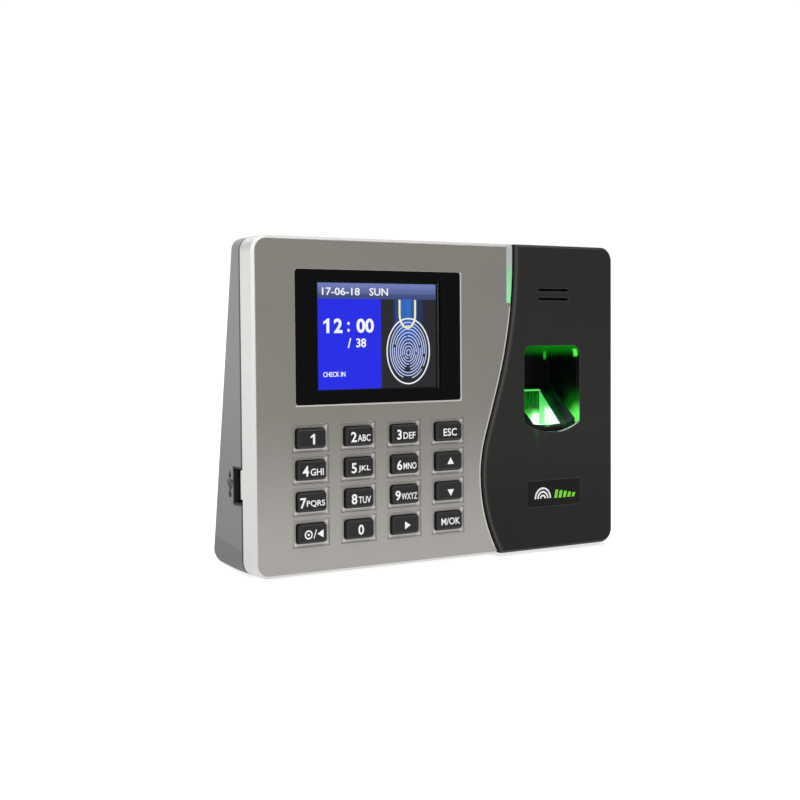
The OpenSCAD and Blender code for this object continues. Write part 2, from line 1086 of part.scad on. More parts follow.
module seam_gasket() {
    color("#3a3a3c")
        on_face()
            difference() {
                union() {
                    slab(-seam_end, -seam_back)
                        difference() {
                            outline(0.9);
                            outline(2);
                        }
                    // Liner of the USB opening
                    usb_block(0.05, -body_w / 2 + 0.3, 2.4, -seam_back - 0.05);
                }
                usb_block(0.8, -body_w / 2 - 5, 12, 0);
            }
}

module wall_bracket() {
    color("#a9adb1")
        difference() {
            union() {
                translate([-bracket_w / 2, wall_y - bracket_t, bracket_z0])
                    cube([bracket_w, bracket_t, bracket_z1 - bracket_z0]);
                // Foot tab for the lock screw
                translate([-7.5, wall_y - 9.5, bracket_z0])
                    cube([15, 9.5, bracket_t]);
                // Hooks that hold the case
                for (sx = [-1, 1]) {
                    translate([sx * hook_x - 6, wall_y - 6, 104])
                        cube([12, 6, bracket_t]);
                    translate([sx * hook_x - 6, wall_y - 6, 104])
                        cube([12, bracket_t, 6]);
                }
            }
            // Window around the connector bay
            translate([bay_x - bay_w / 2 - 3, wall_y - 4.5, bay_z - 3])
                cube([bay_w + 6, 6, bay_h + 6]);
            for (sx = [-1, 1], sz = [-1, 1])
                wall_spot(sx, sz, -5)
                    cylinder(10, r = wall_hole_r, $fn = 32);
            // Punched relief above each hook
            for (sx = [-1, 1])
                translate([sx * hook_x - 6, wall_y - 1.6, 105.5])
                    cube([12, 3, 5.5]);
            // Hole for the lock screw
            translate([0, wall_y - 6.5, bracket_z0 - 1])
                cylinder(5, r = 1.25, $fn = 32);
        }
}

module io_board() {
    color("#1d5f86")
        difference() {
            translate([bay_x - 40, io_front, bay_z - 1])
                cube([80, board_t, 29]);
            for (s = [-1, 1])
                translate([bay_x + s * 36, io_front - 1, io_post_z])
                    rotate([-90, 0, 0])
                        cylinder(5, r = 1.2, $fn = 32);
        }
}

module network_socket() {
    color("#b9bdc0")
        translate([net_x, io_back, socket_z])
            difference() {
                translate([-8, 0, -7.5])
                    cube([16, 12.2, 15]);
                translate([-5.9, 2.2, -5.2])
                    cube([11.8, 12, 8.4]);
                translate([-3, 2.2, 3])
                    cube([6, 12, 2.4]);
            }
}

module power_jack() {
    color("#1c1c1e")
        translate([jack_x, io_back, socket_z])
            difference() {
                union() {
                    translate([-5.5, 0, -6])
                        cube([11, 7.5, 12]);
                    rotate([-90, 0, 0])
                        cylinder(10.5, r = 5, $fn = 64);
                }
                translate([0, 1.5, 0])
                    rotate([-90, 0, 0])
                        cylinder(12, r = jack_r, $fn = 64);
            }
}

module power_pin() {
    color("#d0cfc8")
        translate([jack_x, io_back + 1.5, socket_z])
            rotate([-90, 0, 0])
                cylinder(7.5, r = 1, $fn = 32);
}

module wire_terminals() {
    color("#2f7d54") {
        terminal(0, 5);
        terminal(22, 3);
    }
}

// Row of wire terminals with square entries and screw wells
module terminal(x, ways) {
    pitch = 3.5;
    translate([x, io_back, socket_z])
        difference() {
            translate([-ways * pitch / 2, 0, -4.4])
                cube([ways * pitch, 9, 8.8]);
            for (i = [0:ways - 1])
                translate([(i - (ways - 1) / 2) * pitch, 0, 0]) {
                    translate([-1.2, 3, -3.4])
                        cube([2.4, 8, 2.6]);
                    translate([0, 5, 2])
                        rotate([-90, 0, 0])
                            cylinder(6, r = 1.25, $fn = 24);
                }
        }
}

module lcd_ribbon() {
    color("#c98a3a")
        on_face()
            translate([0, 106, 0])
                rotate([90, 0, 0])
                    linear_extrude(22)
                        polygon([
                            [1.02, -3.4], [5, -3.4], [8.4, -6], [8.4, -8.6], [7, -9.3],
                            [1, -9.3], [1, -9], [6.8, -9], [8.1, -8.4], [8.1, -6.15],
                            [4.9, -3.7], [1.02, -3.7]
                        ]);
}

module keypad_ribbon() {
    color("#e8e6dc")
        on_face()
            translate([-30, 0, 0])
                rotate([90, 0, 90])
                    linear_extrude(14)
                        polygon([
                            [54, -8.5], [63, -8.5], [63.55, -9.1], [63.55, -10.6],
                            [63.95, -10.9], [66.6, -10.9], [66.6, -11.2], [63.8, -11.2],
                            [63.25, -10.7], [63.25, -9.2], [62.85, -8.8], [54, -8.8]
                        ]);
}

module sensor_ribbon() {
    color("#e8e6dc")
        on_face()
            translate([0, 71.5, 0])
                rotate([90, 0, 0])
                    linear_extrude(7)
                        polygon([
                            [47, -24], [43, -24], [37, -21], [34.6, -14], [30, -10.9],
                            [26, -10.9], [26, -11.2], [29.9, -11.2], [34.3, -14.2],
                            [36.7, -21.2], [42.9, -24.3], [47, -24.3]
                        ]);
}

// Face point turned into upright depth and height
function upright(y, z) = [
    face_y + y * lean_sin - z * lean_cos,
    foot_lift + y * lean_cos + z * lean_sin
];

module io_ribbon() {
    a = upright(66, -main_back);
    b = upright(71, -main_back);
    ribbon = 0.3;
    color("#e8e6dc")
        translate([-8, 0, 0])
            rotate([90, 0, 90])
                linear_extrude(12)
                    polygon([
                        [io_front - ribbon, 34], [io_front - ribbon, 40], a, b,
                        b + [ribbon, 0], a + [ribbon, 0], [io_front, 40], [io_front, 34]
                    ]);
}

module case_screws() {
    color("#b4b6b8")
        on_face()
            case_spots()
                screw(-seam_end - 2.4, 8.4, 1.15, 2.8, 1.8);
}

module board_screws() {
    color("#c0c2c4") {
        on_face()
            for (p = board_holes)
                translate([p[0], p[1], 0])
                    screw(-main_back, 5.6, 0.9, 2.2, 1.4);
        for (s = [-1, 1])
            translate([bay_x + s * 36, io_front, io_post_z])
                rotate([-90, 0, 0])
                    io_screw();
    }
}

module io_screw() {
    translate([0, 0, -1.4])
        cylinder(1.4, r = 2.2, $fn = 32);
    cylinder(board_t, r = 1.1, $fn = 32);
}

module keypad_screws() {
    color("#c0c2c4")
        on_face()
            for (p = keypad_holes)
                translate([p[0], p[1], 0])
                    screw(-keyboard_back, 4, 0.65, 1.7, 1);
}

module sensor_screws() {
    color("#c0c2c4")
        on_face()
            for (s = [-1, 1])
                translate([well_x + s * sensor_ear_x, sensor_ear_y, 0])
                    screw(-8.2, 5.5, 0.75, 1.9, 1.3);
}

module lock_screw() {
    color("#b4b6b8")
        translate([0, wall_y - 6.5, 0.1])
            difference() {
                union() {
                    cylinder(0.95, r = 2.8, $fn = 32);
                    cylinder(7, r = 1.2, $fn = 32);
                }
                for (a = [0, 90])
                    rotate(a)
                        translate([-1.7, -0.3, -0.5])
                            cube([3.4, 0.6, 1]);
            }
}

front_bezel();
face_plate();
scanner_panel();
light_pipe();
window_lens();
badge_inlay();
lcd_panel();
lcd_frame();
lcd_backlight();
keypad_mat();
keypad_board();
key_1();
key_2();
key_3();
key_esc();
key_4();
key_5();
key_6();
key_up();
key_7();
key_8();
key_9();
key_down();
key_power();
key_0();
key_right();
key_ok();
main_board();
main_chips();
coin_cell();
usb_shell();
usb_tongue();
status_leds();
finger_well();
sensor_prism();
sensor_housing();
led_board();
sensor_leds();
sensor_lens();
image_board();
speaker();
speaker_cone();
back_shell();
seam_gasket();
wall_bracket();
io_board();
network_socket();
power_jack();
power_pin();
wire_terminals();
lcd_ribbon();
keypad_ribbon();
sensor_ribbon();
io_ribbon();
case_screws();
board_screws();
keypad_screws();
sensor_screws();
lock_screw();
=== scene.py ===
"""Looks of the fingerprint scanner terminal: materials, printed marks, the lit display, light and camera.

Lengths are in millimetres until a piece is finished. Face coordinates have x to the right, y up the slope of
the leaning front face and z out of it, with z = 0 on the face plate.
"""
import json
import math
import random

import bmesh
import bpy
from mathutils import Matrix, Vector


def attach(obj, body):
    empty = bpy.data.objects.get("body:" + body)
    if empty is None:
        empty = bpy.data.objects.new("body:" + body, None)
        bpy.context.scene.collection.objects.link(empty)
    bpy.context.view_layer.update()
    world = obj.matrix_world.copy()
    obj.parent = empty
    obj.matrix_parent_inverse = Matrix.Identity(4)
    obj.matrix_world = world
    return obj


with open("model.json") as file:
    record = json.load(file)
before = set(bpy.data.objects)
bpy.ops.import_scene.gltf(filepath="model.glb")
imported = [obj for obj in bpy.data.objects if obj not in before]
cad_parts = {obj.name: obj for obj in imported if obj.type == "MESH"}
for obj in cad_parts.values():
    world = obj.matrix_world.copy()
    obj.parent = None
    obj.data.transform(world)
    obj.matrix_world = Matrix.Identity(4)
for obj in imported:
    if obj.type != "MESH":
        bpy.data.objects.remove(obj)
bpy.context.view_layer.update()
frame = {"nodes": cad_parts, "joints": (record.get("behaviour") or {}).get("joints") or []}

MM = 0.001
CASE = "case"

# The leaning face: the keys travel along its normal
press = Vector(frame["joints"][0]["axis"])
LEAN = math.atan2(-press.z, press.y)
FACE_Y = -19.434
FOOT_LIFT = 1.6
FACE_TURN = math.radians(90) - LEAN
FACE = (
    Matrix.Scale(MM, 4)
    @ Matrix.Translation((0, FACE_Y, FOOT_LIFT))
    @ Matrix.Rotation(FACE_TURN, 4, "X")
)


def face_box(name):
    """Lowest and highest face coordinates of a CAD node."""
    to_face = FACE.inverted()
    spots = [to_face @ vertex.co for vertex in frame["nodes"][name].data.vertices]
    return [Vector([pick(spot[axis] for spot in spots) for axis in range(3)]) for pick in (min, max)]


def middle(name):
    low, high = face_box(name)
    return (low + high) / 2


# Places on the face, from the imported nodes
PANEL_TOP = face_box("scanner_panel")[1].z
FACE_H = face_box("scanner_panel")[1].y
KEY_X0, KEY_Y0 = middle("key_1").xy
KEY_PITCH_X = middle("key_2").x - KEY_X0
KEY_PITCH_Y = KEY_Y0 - middle("key_4").y
KEY_TOP = face_box("key_1")[1].z
SCREEN_X, SCREEN_Y = middle("lcd_panel").xy
SPEAKER_X, SPEAKER_Y = middle("speaker").xy
BADGE_X, BADGE_Y = middle("badge_inlay").xy
WELL_X = middle("sensor_prism").x
SHELL_SIDE = face_box("back_shell")[1].x

# The lens is let into the window with a gap all round
WINDOW_GAP = 0.15
lens_low, lens_high = face_box("window_lens")
WINDOW_LEFT, WINDOW_RIGHT = lens_low.x - WINDOW_GAP, lens_high.x + WINDOW_GAP
WINDOW_FOOT, WINDOW_TOP = lens_low.y - WINDOW_GAP, lens_high.y + WINDOW_GAP

# The light pipe's slot starts a little below the pipe
PIPE_Y = face_box("light_pipe")[0].y - 0.1

# The prism's platen slopes from its front foot to its rear top
prism_low, prism_high = face_box("sensor_prism")
PLATEN_FOOT = (prism_low.y, prism_high.z)
PLATEN_TOP = (prism_high.y, prism_low.z)
PLATEN_W = prism_high.x - prism_low.x

# Sizes on the face that no node's box shows
SCREEN_W, SCREEN_H = 57.6, 43.2
KEY_W, KEY_H = 13.3, 7.7
RING_W = 1.7
SPEAKER_R = 10
WELL_TOP, WELL_RIGHT = 90.9, WELL_X + 16
CURVE_LEFT, CURVE_RIGHT = 10.0, 41.0
LIP_Y, LIP_R = 82.3, 30.35


def srgb(red, green, blue):
    """Linear colour of a screen colour given from 0 to 255."""
    shares = [c / 255 for c in (red, green, blue)]
    return [s / 12.92 if s <= 0.04045 else ((s + 0.055) / 1.055) ** 2.4 for s in shares] + [1.0]


# ---------------------------------------------------------------- materials


class Surface:
    """A Principled material in the making. Its patterns read face coordinates in millimetres."""

    def __init__(self, name, **sockets):
        self.material = bpy.data.materials.new(name)
        self.material.use_nodes = True
        self.tree = self.material.node_tree
        self.shader = self.tree.nodes["Principled BSDF"]
        self.set(**sockets)
        coords = self.tree.nodes.new("ShaderNodeTexCoord")
        place = self.tree.nodes.new("ShaderNodeMapping")
        place.vector_type = "TEXTURE"
        place.inputs["Location"].default_value = (0, FACE_Y * MM, FOOT_LIFT * MM)
        place.inputs["Rotation"].default_value = (FACE_TURN, 0, 0)
        place.inputs["Scale"].default_value = (MM, MM, MM)
        self.tree.links.new(coords.outputs["Object"], place.inputs["Vector"])
        self.place = place.outputs["Vector"]
        split = self.tree.nodes.new("ShaderNodeSeparateXYZ")
        self.tree.links.new(self.place, split.inputs[0])
        self.x, self.y, self.z = split.outputs

    def feed(self, socket, value):
        """Links a node's output to a socket, or sets a plain value on it."""
        if isinstance(value, bpy.types.NodeSocket):
            self.tree.links.new(value, socket)
        else:
            socket.default_value = value

    def set(self, **sockets):
        """Sets the shader's sockets, named in lower case with underscores."""
        for name, value in sockets.items():
            self.feed(self.shader.inputs[name.replace("_", " ").title().replace("Ior", "IOR")], value)

    def math(self, operation, a, b=0.0, c=0.0, clamp=False):
        node = self.tree.nodes.new("ShaderNodeMath")
        node.operation = operation
        node.use_clamp = clamp
        for socket, value in zip(node.inputs, (a, b, c)):
            self.feed(socket, value)
        return node.outputs[0]

    def add(self, a, b):
        return self.math("ADD", a, b)

    def times(self, a, b):
        return self.math("MULTIPLY", a, b)

    def span(self, value, low, high, to_low=0.0, to_high=1.0):
        """Smooth step of value, from to_low at low to to_high at high."""
        node = self.tree.nodes.new("ShaderNodeMapRange")
        node.interpolation_type = "SMOOTHSTEP"
        for socket, number in zip(node.inputs, (value, low, high, to_low, to_high)):
            self.feed(socket, number)
        return node.outputs[0]

    def between(self, value, low, high, soft=0.05):
        """1 where value lies from low to high, 0 elsewhere."""
        rise = self.span(value, low - soft, low + soft)
        fall = self.span(value, high - soft, high + soft, 1.0, 0.0)
        return self.times(rise, fall)

    def rectangle(self, x0, x1, y0, y1, soft=0.05):
        """1 inside a rectangle on the face, 0 outside."""
        return self.times(self.between(self.x, x0, x1, soft), self.between(self.y, y0, y1, soft))

    def key_offset(self):
        """Offset from the middle of the nearest key, along the row and up the column."""
        across = self.math("WRAP", self.x, KEY_X0 + KEY_PITCH_X / 2, KEY_X0 - KEY_PITCH_X / 2)
        up = self.math("WRAP", self.y, KEY_Y0 + KEY_PITCH_Y / 2, KEY_Y0 - KEY_PITCH_Y / 2)
        return self.add(across, -KEY_X0), self.add(up, -KEY_Y0)

    def near(self, x, y, inner, outer):
        """1 within inner of a point on the face, fading to 0 at outer."""
        dx, dy = self.add(self.x, -x), self.add(self.y, -y)
        gap = self.math("SQRT", self.add(self.times(dx, dx), self.times(dy, dy)))
        return self.span(gap, inner, outer, 1.0, 0.0)

    def stretched(self, stretch):
        """The place coordinates, scaled by that much on each axis."""
        node = self.tree.nodes.new("ShaderNodeMapping")
        node.inputs["Scale"].default_value = stretch
        self.tree.links.new(self.place, node.inputs["Vector"])
        return node.outputs[0]

    def noise(self, per_mm, detail=3.0, stretch=None):
        """Noise from 0 to 1 with that many features in a millimetre."""
        node = self.tree.nodes.new("ShaderNodeTexNoise")
        node.inputs["Scale"].default_value = per_mm
        node.inputs["Detail"].default_value = detail
        self.feed(node.inputs["Vector"], self.stretched(stretch) if stretch else self.place)
        return node.outputs["Fac"]

    def cells(self, per_mm, feature="F1"):
        """Distances inside Voronoi cells, with that many cells in a millimetre."""
        node = self.tree.nodes.new("ShaderNodeTexVoronoi")
        node.feature = feature
        node.inputs["Scale"].default_value = per_mm
        self.feed(node.inputs["Vector"], self.place)
        return node.outputs["Distance"]

    def mix(self, share, a, b):
        """Colour a, turning into b as share goes from 0 to 1."""
        node = self.tree.nodes.new("ShaderNodeMix")
        node.data_type = "RGBA"
        node.clamp_factor = True
        self.feed(node.inputs["Factor"], share)
        colours = [s for s in node.inputs if s.type == "RGBA"]
        self.feed(colours[0], a)
        self.feed(colours[1], b)
        return next(s for s in node.outputs if s.type == "RGBA")

    def edge(self, radius, gain=6.0):
        """1 along the piece's outer edges, 0 on its flats."""
        geometry = self.tree.nodes.new("ShaderNodeNewGeometry")
        bevel = self.tree.nodes.new("ShaderNodeBevel")
        bevel.samples = 4
        bevel.inputs["Radius"].default_value = radius * MM
        dot = self.tree.nodes.new("ShaderNodeVectorMath")
        dot.operation = "DOT_PRODUCT"
        self.tree.links.new(bevel.outputs[0], dot.inputs[0])
        self.tree.links.new(geometry.outputs["Normal"], dot.inputs[1])
        turned = self.math("SUBTRACT", 1.0, dot.outputs["Value"])
        return self.math("MULTIPLY", turned, gain, clamp=True)

    def bump(self, height, depth, soften=0.0):
        """Relief of that depth in millimetres. soften rounds the piece's edges by a radius."""
        node = self.tree.nodes.new("ShaderNodeBump")
        node.inputs["Strength"].default_value = 1.0
        node.inputs["Distance"].default_value = depth * MM
        self.feed(node.inputs["Height"], height)
        if soften:
            bevel = self.tree.nodes.new("ShaderNodeBevel")
            bevel.samples = 4
            bevel.inputs["Radius"].default_value = soften * MM
            self.tree.links.new(bevel.outputs[0], node.inputs["Normal"])
        self.tree.links.new(node.outputs[0], self.shader.inputs["Normal"])
        return self


def moulded(name, base, rough, grain=3.0, depth=0.01, level=0.5, wear_and_sheen=0.12, soften=0.15, tint=0.12):
    """Moulded plastic: fine spark grain, slow colour variation and lighter, smoother edges; the lighter edges
    are partly rubbed and partly painted highlight.
    """
    s = Surface(name, specular_ior_level=level)
    fine = s.noise(grain, 4.0)
    slow = s.noise(0.035, 2.0)
    dark = [c * (1 - tint) for c in base[:3]] + [1.0]
    light = [min(1.0, c * (1 + tint)) for c in base[:3]] + [1.0]
    worn_and_lit = [min(1.0, c * 1.25 + wear_and_sheen * 0.15) for c in base[:3]] + [1.0]
    body = s.mix(s.times(s.add(fine, slow), 0.5), dark, light)
    # Lighter edges: partly rubbed, partly painted highlight
    edge = s.edge(0.35)
    s.set(
        base_color=s.mix(s.times(edge, wear_and_sheen), body, worn_and_lit),
        roughness=s.add(s.times(fine, 0.14), rough - 0.07),
    )
    return s.bump(s.add(fine, s.times(s.cells(grain * 1.3), 0.5)), depth, soften).material


def shell_plastic():
    """Warm grey textured rear shell, with painted shade darker towards its foot and painted highlights on its
    edges.
    """
    s = Surface("shell_grey", specular_ior_level=0.35)
    fine = s.noise(2.2, 4.0)
    slow = s.noise(0.035, 2.0)
    body = s.mix(s.times(s.add(fine, slow), 0.5), srgb(136, 133, 134), srgb(152, 149, 150))
    # Painted shade: darker towards the foot
    body = s.mix(s.times(s.span(s.y, 130.0, 10.0), 0.75), body, srgb(108, 106, 107))
    # Painted shade: a darker band low on the side, where it turns under at the foot
    foot = s.span(s.add(s.y, s.times(s.z, 0.16)), 9.0, 7.5)
    body = s.mix(s.times(foot, 0.5), body, srgb(92, 90, 91))
    # Painted highlight along the shell's edges
    s.set(
        base_color=s.mix(s.times(s.edge(0.35), 0.4), body, srgb(176, 174, 175)),
        roughness=s.add(s.times(fine, 0.14), 0.44),
    )
    return s.bump(s.add(fine, s.times(s.cells(2.9), 0.5)), 0.02, 0.4).material


def metal(name, base, rough, stretch=(0.3, 6.0, 1.0), metallic=1.0, depth=0.004, soften=0.1):
    """Rolled or brushed metal with lines along its grain and faint blotches."""
    s = Surface(name, metallic=metallic)
    lines = s.noise(2.0, 5.0, stretch)
    slow = s.noise(0.05, 3.0)
    dark = [c * 0.82 for c in base[:3]] + [1.0]
    body = s.mix(s.add(s.times(lines, 0.6), s.times(slow, 0.4)), dark, base)
    s.set(base_color=body, roughness=s.add(s.times(lines, 0.22), rough - 0.11))
    return s.bump(lines, depth, soften).material


def silver_paint():
    """Silver painted plastic: bright flakes in a clear coat, with painted shade towards its foot and along
    its top rim, and painted highlights on its edges.
    """
    s = Surface("silver_paint", metallic=0.25, coat_weight=0.25, coat_roughness=0.3)
    flake = s.cells(9.0)
    fine = s.noise(5.0, 3.0)
    slow = s.noise(0.03, 2.0)
    body = s.mix(s.span(flake, 0.1, 0.5), srgb(236, 235, 233), srgb(222, 221, 219))
    body = s.mix(s.times(slow, 0.25), body, srgb(206, 205, 203))
    # Painted shade: darker towards the foot
    body = s.mix(s.times(s.span(s.y, 130.0, 10.0), 0.8), body, srgb(196, 195, 193))
    # Painted shade along the top rim, which the top lamp lights too brightly
    body = s.mix(s.span(s.y, FACE_H - 3.0, FACE_H - 0.6), body, srgb(178, 177, 175))
    # Shade in the opening before the speaker
    body = s.mix(s.near(SPEAKER_X, SPEAKER_Y, SPEAKER_R, SPEAKER_R + 1), body, srgb(8, 8, 8))
    # Painted highlight along the edges
    s.set(
        base_color=s.mix(s.times(s.edge(0.3), 0.5), body, srgb(250, 250, 248)),
        roughness=s.add(s.times(fine, 0.12), 0.32),
    )
    return s.bump(s.add(fine, flake), 0.004, 0.25).material


def key_rings(s, body):
    """Dished ring round each key hole, with a painted highlight on its right and lower sides and a painted
    shade line round its outside.
    """
    across, up = s.key_offset()
    half_w, half_h = KEY_W / 2, KEY_H / 2
    right = s.span(across, half_w - 0.4, half_w + 0.2)
    below = s.span(up, 0.4 - half_h, -0.2 - half_h)
    side = s.math("MAXIMUM", right, below)
    past_x = s.add(s.math("ABSOLUTE", across), -half_w)
    past_y = s.add(s.math("ABSOLUTE", up), -half_h)
    past_key = s.math("MAXIMUM", past_x, past_y)
    keypad = s.rectangle(
        KEY_X0 - KEY_PITCH_X / 2, KEY_X0 + 3.5 * KEY_PITCH_X,
        KEY_Y0 - 3.5 * KEY_PITCH_Y, KEY_Y0 + KEY_PITCH_Y / 2,
    )
    # Painted highlight on the ring's right and lower sides
    bright = s.times(s.between(past_key, 0.25, 1.0, 0.25), s.times(side, keypad))
    body = s.mix(s.times(bright, 0.75), body, srgb(232, 230, 225))
    # Painted shade: dark line along the ring's outer edge
    line = s.between(past_key, RING_W - 0.25, RING_W + 0.1, 0.15)
    shade = s.times(line, s.span(side, 0.0, 1.0, 0.3, 0.75))
    return s.mix(s.times(shade, keypad), body, srgb(70, 66, 60))


def window_rim(s, body):
    """Painted highlight: a pale line along the right and lower edges of the window."""
    past_right = s.add(s.x, -WINDOW_RIGHT)
    past_foot = s.add(s.times(s.y, -1.0), WINDOW_FOOT)
    past_window = s.math("MAXIMUM", past_right, past_foot)
    window = s.rectangle(WINDOW_LEFT, WINDOW_RIGHT + 1, WINDOW_FOOT - 1, WINDOW_TOP)
    return s.mix(s.times(s.between(past_window, 0.0, 0.5, 0.15), window), body, srgb(214, 211, 205))


def face_metal():
    """Warm grey anodised plate: fine brushing across, painted highlights on its edges, and painted floor
    light that makes it lighter towards its foot.
    """
    s = Surface("face_metal", metallic=0.35, specular_ior_level=0.45)
    brushed = s.noise(1.6, 6.0, (0.12, 5.0, 1.0))
    grit = s.noise(9.0, 2.0)
    slow = s.noise(0.02, 2.0)
    body = s.mix(s.add(s.times(brushed, 0.55), s.times(slow, 0.45)), srgb(124, 120, 114), srgb(146, 142, 136))
    # Painted light: lighter towards the foot, as lit from the floor
    body = s.mix(s.times(s.span(s.y, 72.0, 4.0), 0.68), body, srgb(182, 179, 175))
    body = window_rim(s, key_rings(s, body))
    # Painted highlight along the plate's edges
    s.set(
        base_color=s.mix(s.edge(0.22, 9.0), body, srgb(226, 224, 219)),
        roughness=s.add(s.times(brushed, 0.16), 0.36),
    )
    return s.bump(s.add(s.times(brushed, 0.8), s.times(grit, 0.3)), 0.006, 0.18).material


def panel_plastic():
    """Near-black panel with a faint woven grid moulded into it."""
    s = Surface("panel_plastic", specular_ior_level=0.26, emission_strength=1.0)
    pitch = 0.85
    across = s.math("SINE", s.times(s.x, 2 * math.pi / pitch))
    up = s.math("SINE", s.times(s.y, 2 * math.pi / pitch))
    weave = s.add(s.times(s.math("MAXIMUM", across, up), 0.5), 0.5)
    grain = s.noise(4.0, 4.0)
    slow = s.noise(0.03, 2.0)
    body = s.mix(weave, srgb(20, 20, 19), srgb(29, 29, 28))
    body = s.mix(s.times(s.add(grain, slow), 0.3), body, srgb(34, 34, 32))
    # Painted shade: darker towards the foot
    body = s.mix(s.times(s.span(s.y, 60.0, 10.0), 0.9), body, srgb(11, 11, 10))
    # Painted highlight along the edges
    body = s.mix(s.times(s.edge(0.5), 0.5), body, srgb(104, 104, 102))
    # Painted highlight on the bevel beside the dividing curve
    bevel = s.times(s.between(s.x, CURVE_LEFT, CURVE_RIGHT), s.span(s.z, PANEL_TOP - 0.03, PANEL_TOP - 0.36))
    bevel = s.times(bevel, s.span(s.z, PANEL_TOP - 0.6, PANEL_TOP - 0.4))
    body = s.mix(s.times(bevel, 0.26), body, srgb(112, 112, 108))
    # Deep shade in the gap beside the face plate and inside the finger well
    gap = s.times(s.between(s.x, CURVE_LEFT, CURVE_RIGHT), s.between(s.y, 0.8, FACE_H - 0.8))
    gap = s.times(gap, s.span(s.z, 0.0, -0.2))
    inside = s.times(s.rectangle(40.0, WELL_RIGHT + 0.6, 51.5, WELL_TOP + 0.5), s.span(s.z, 0.8, 0.6))
    body = s.mix(s.math("MAXIMUM", gap, inside), body, srgb(5, 5, 5))
    # Light on the lip below the well, and the lamp's green streaks on the panel
    lip = s.times(s.near(WELL_X, LIP_Y, LIP_R, LIP_R + 0.25), s.span(s.y, 57.0, 55.6))
    lip = s.times(s.times(lip, s.between(s.x, WELL_X + 4, WELL_RIGHT - 0.3, 2.0)), s.between(s.z, 0.5, 0.95))
    streaks = s.span(s.noise(0.5, 2.0, (1.0, 0.25, 1.0)), 0.4, 0.7)
    glare = s.times(s.times(s.near(49.0, 54.0, 0.5, 10.0), streaks), s.span(s.z, 0.6, 0.85))
    green = s.mix(glare, srgb(0, 0, 0), srgb(4, 52, 24))
    s.set(
        base_color=s.mix(lip, body, srgb(168, 168, 166)),
        roughness=s.add(s.times(grain, 0.14), 0.42),
        emission_color=s.mix(inside, green, well_glow(s)),
    )
    return s.bump(s.add(s.times(weave, 0.6), s.times(grain, 0.5)), 0.012, 0.3).material


def key_cap():
    """Satin black key cap, with painted highlights on its top edges and painted shade down its sides."""
    s = Surface("key_cap", specular_ior_level=0.4)
    grain = s.noise(5.0, 4.0)
    slow = s.noise(0.2, 2.0)
    body = s.mix(s.times(s.add(grain, slow), 0.5), srgb(13, 13, 14), srgb(24, 24, 25))
    # Painted highlight along the cap's top edges
    rim = s.times(s.edge(0.35), s.span(s.z, KEY_TOP - 0.5, KEY_TOP - 0.2))
    # Painted shade: the cap's sides darken towards the plate
    body = s.mix(s.span(s.z, KEY_TOP - 0.5, 0.0), body, srgb(3, 3, 3))
    s.set(
        base_color=s.mix(s.times(rim, 0.7), body, srgb(104, 104, 105)),
        roughness=s.add(s.times(grain, 0.15), 0.34),
    )
    return s.bump(grain, 0.008, 0.35).material


def window_lens():
    """Acrylic window: a black printed border round a clear area with a faint haze."""
    s = Surface("window_lens", specular_ior_level=0.12)
    smudge = s.noise(0.06, 4.0)
    dust = s.span(s.noise(3.0, 2.0), 0.62, 0.75)
    half_h = SCREEN_H / 2 + 0.9
    clear = s.rectangle(SCREEN_X - 30.0, SCREEN_X + 30.3, SCREEN_Y - half_h, SCREEN_Y + half_h, 0.04)
    s.set(
        base_color=s.mix(s.times(dust, 0.2), srgb(9, 9, 9), srgb(30, 30, 29)),
        alpha=s.span(clear, 0.0, 1.0, 1.0, 0.06),
        roughness=s.add(s.times(smudge, 0.12), 0.1),
    )
    return s.bump(smudge, 0.002, 0.2).material


def badge_film():
    """Glossy dark film with a faint diagonal sheen of fine lines."""
    s = Surface("badge_film", specular_ior_level=0.2)
    lines = s.math("SINE", s.times(s.add(s.x, s.y), 14.0))
    haze = s.noise(0.3, 3.0)
    s.set(
        base_color=s.mix(s.times(s.add(lines, haze), 0.4), srgb(10, 10, 9), srgb(18, 17, 16)),
        roughness=s.add(s.times(haze, 0.1), 0.2),
    )
    return s.bump(s.add(s.times(lines, 0.2), haze), 0.003, 0.1).material


def lit_pipe():
    """Milky light pipe: white daylight at its top, green lamp light lower down."""
    s = Surface("lit_pipe", emission_strength=1.0, specular_ior_level=0.4)
    cloud = s.noise(0.5, 3.0)
    down = s.span(s.y, PIPE_Y + 20.5, PIPE_Y + 12.5)
    glow = s.span(s.add(s.y, s.times(cloud, 3.0)), PIPE_Y - 1.0, PIPE_Y + 24.0)
    green = s.mix(glow, srgb(70, 196, 102), srgb(60, 152, 88))
    s.set(
        base_color=s.mix(cloud, srgb(122, 126, 128), srgb(140, 144, 148)),
        emission_color=s.mix(down, srgb(122, 122, 128), green),
        roughness=s.add(s.times(cloud, 0.1), 0.25),
    )
    return s.bump(cloud, 0.01, 0.15).material


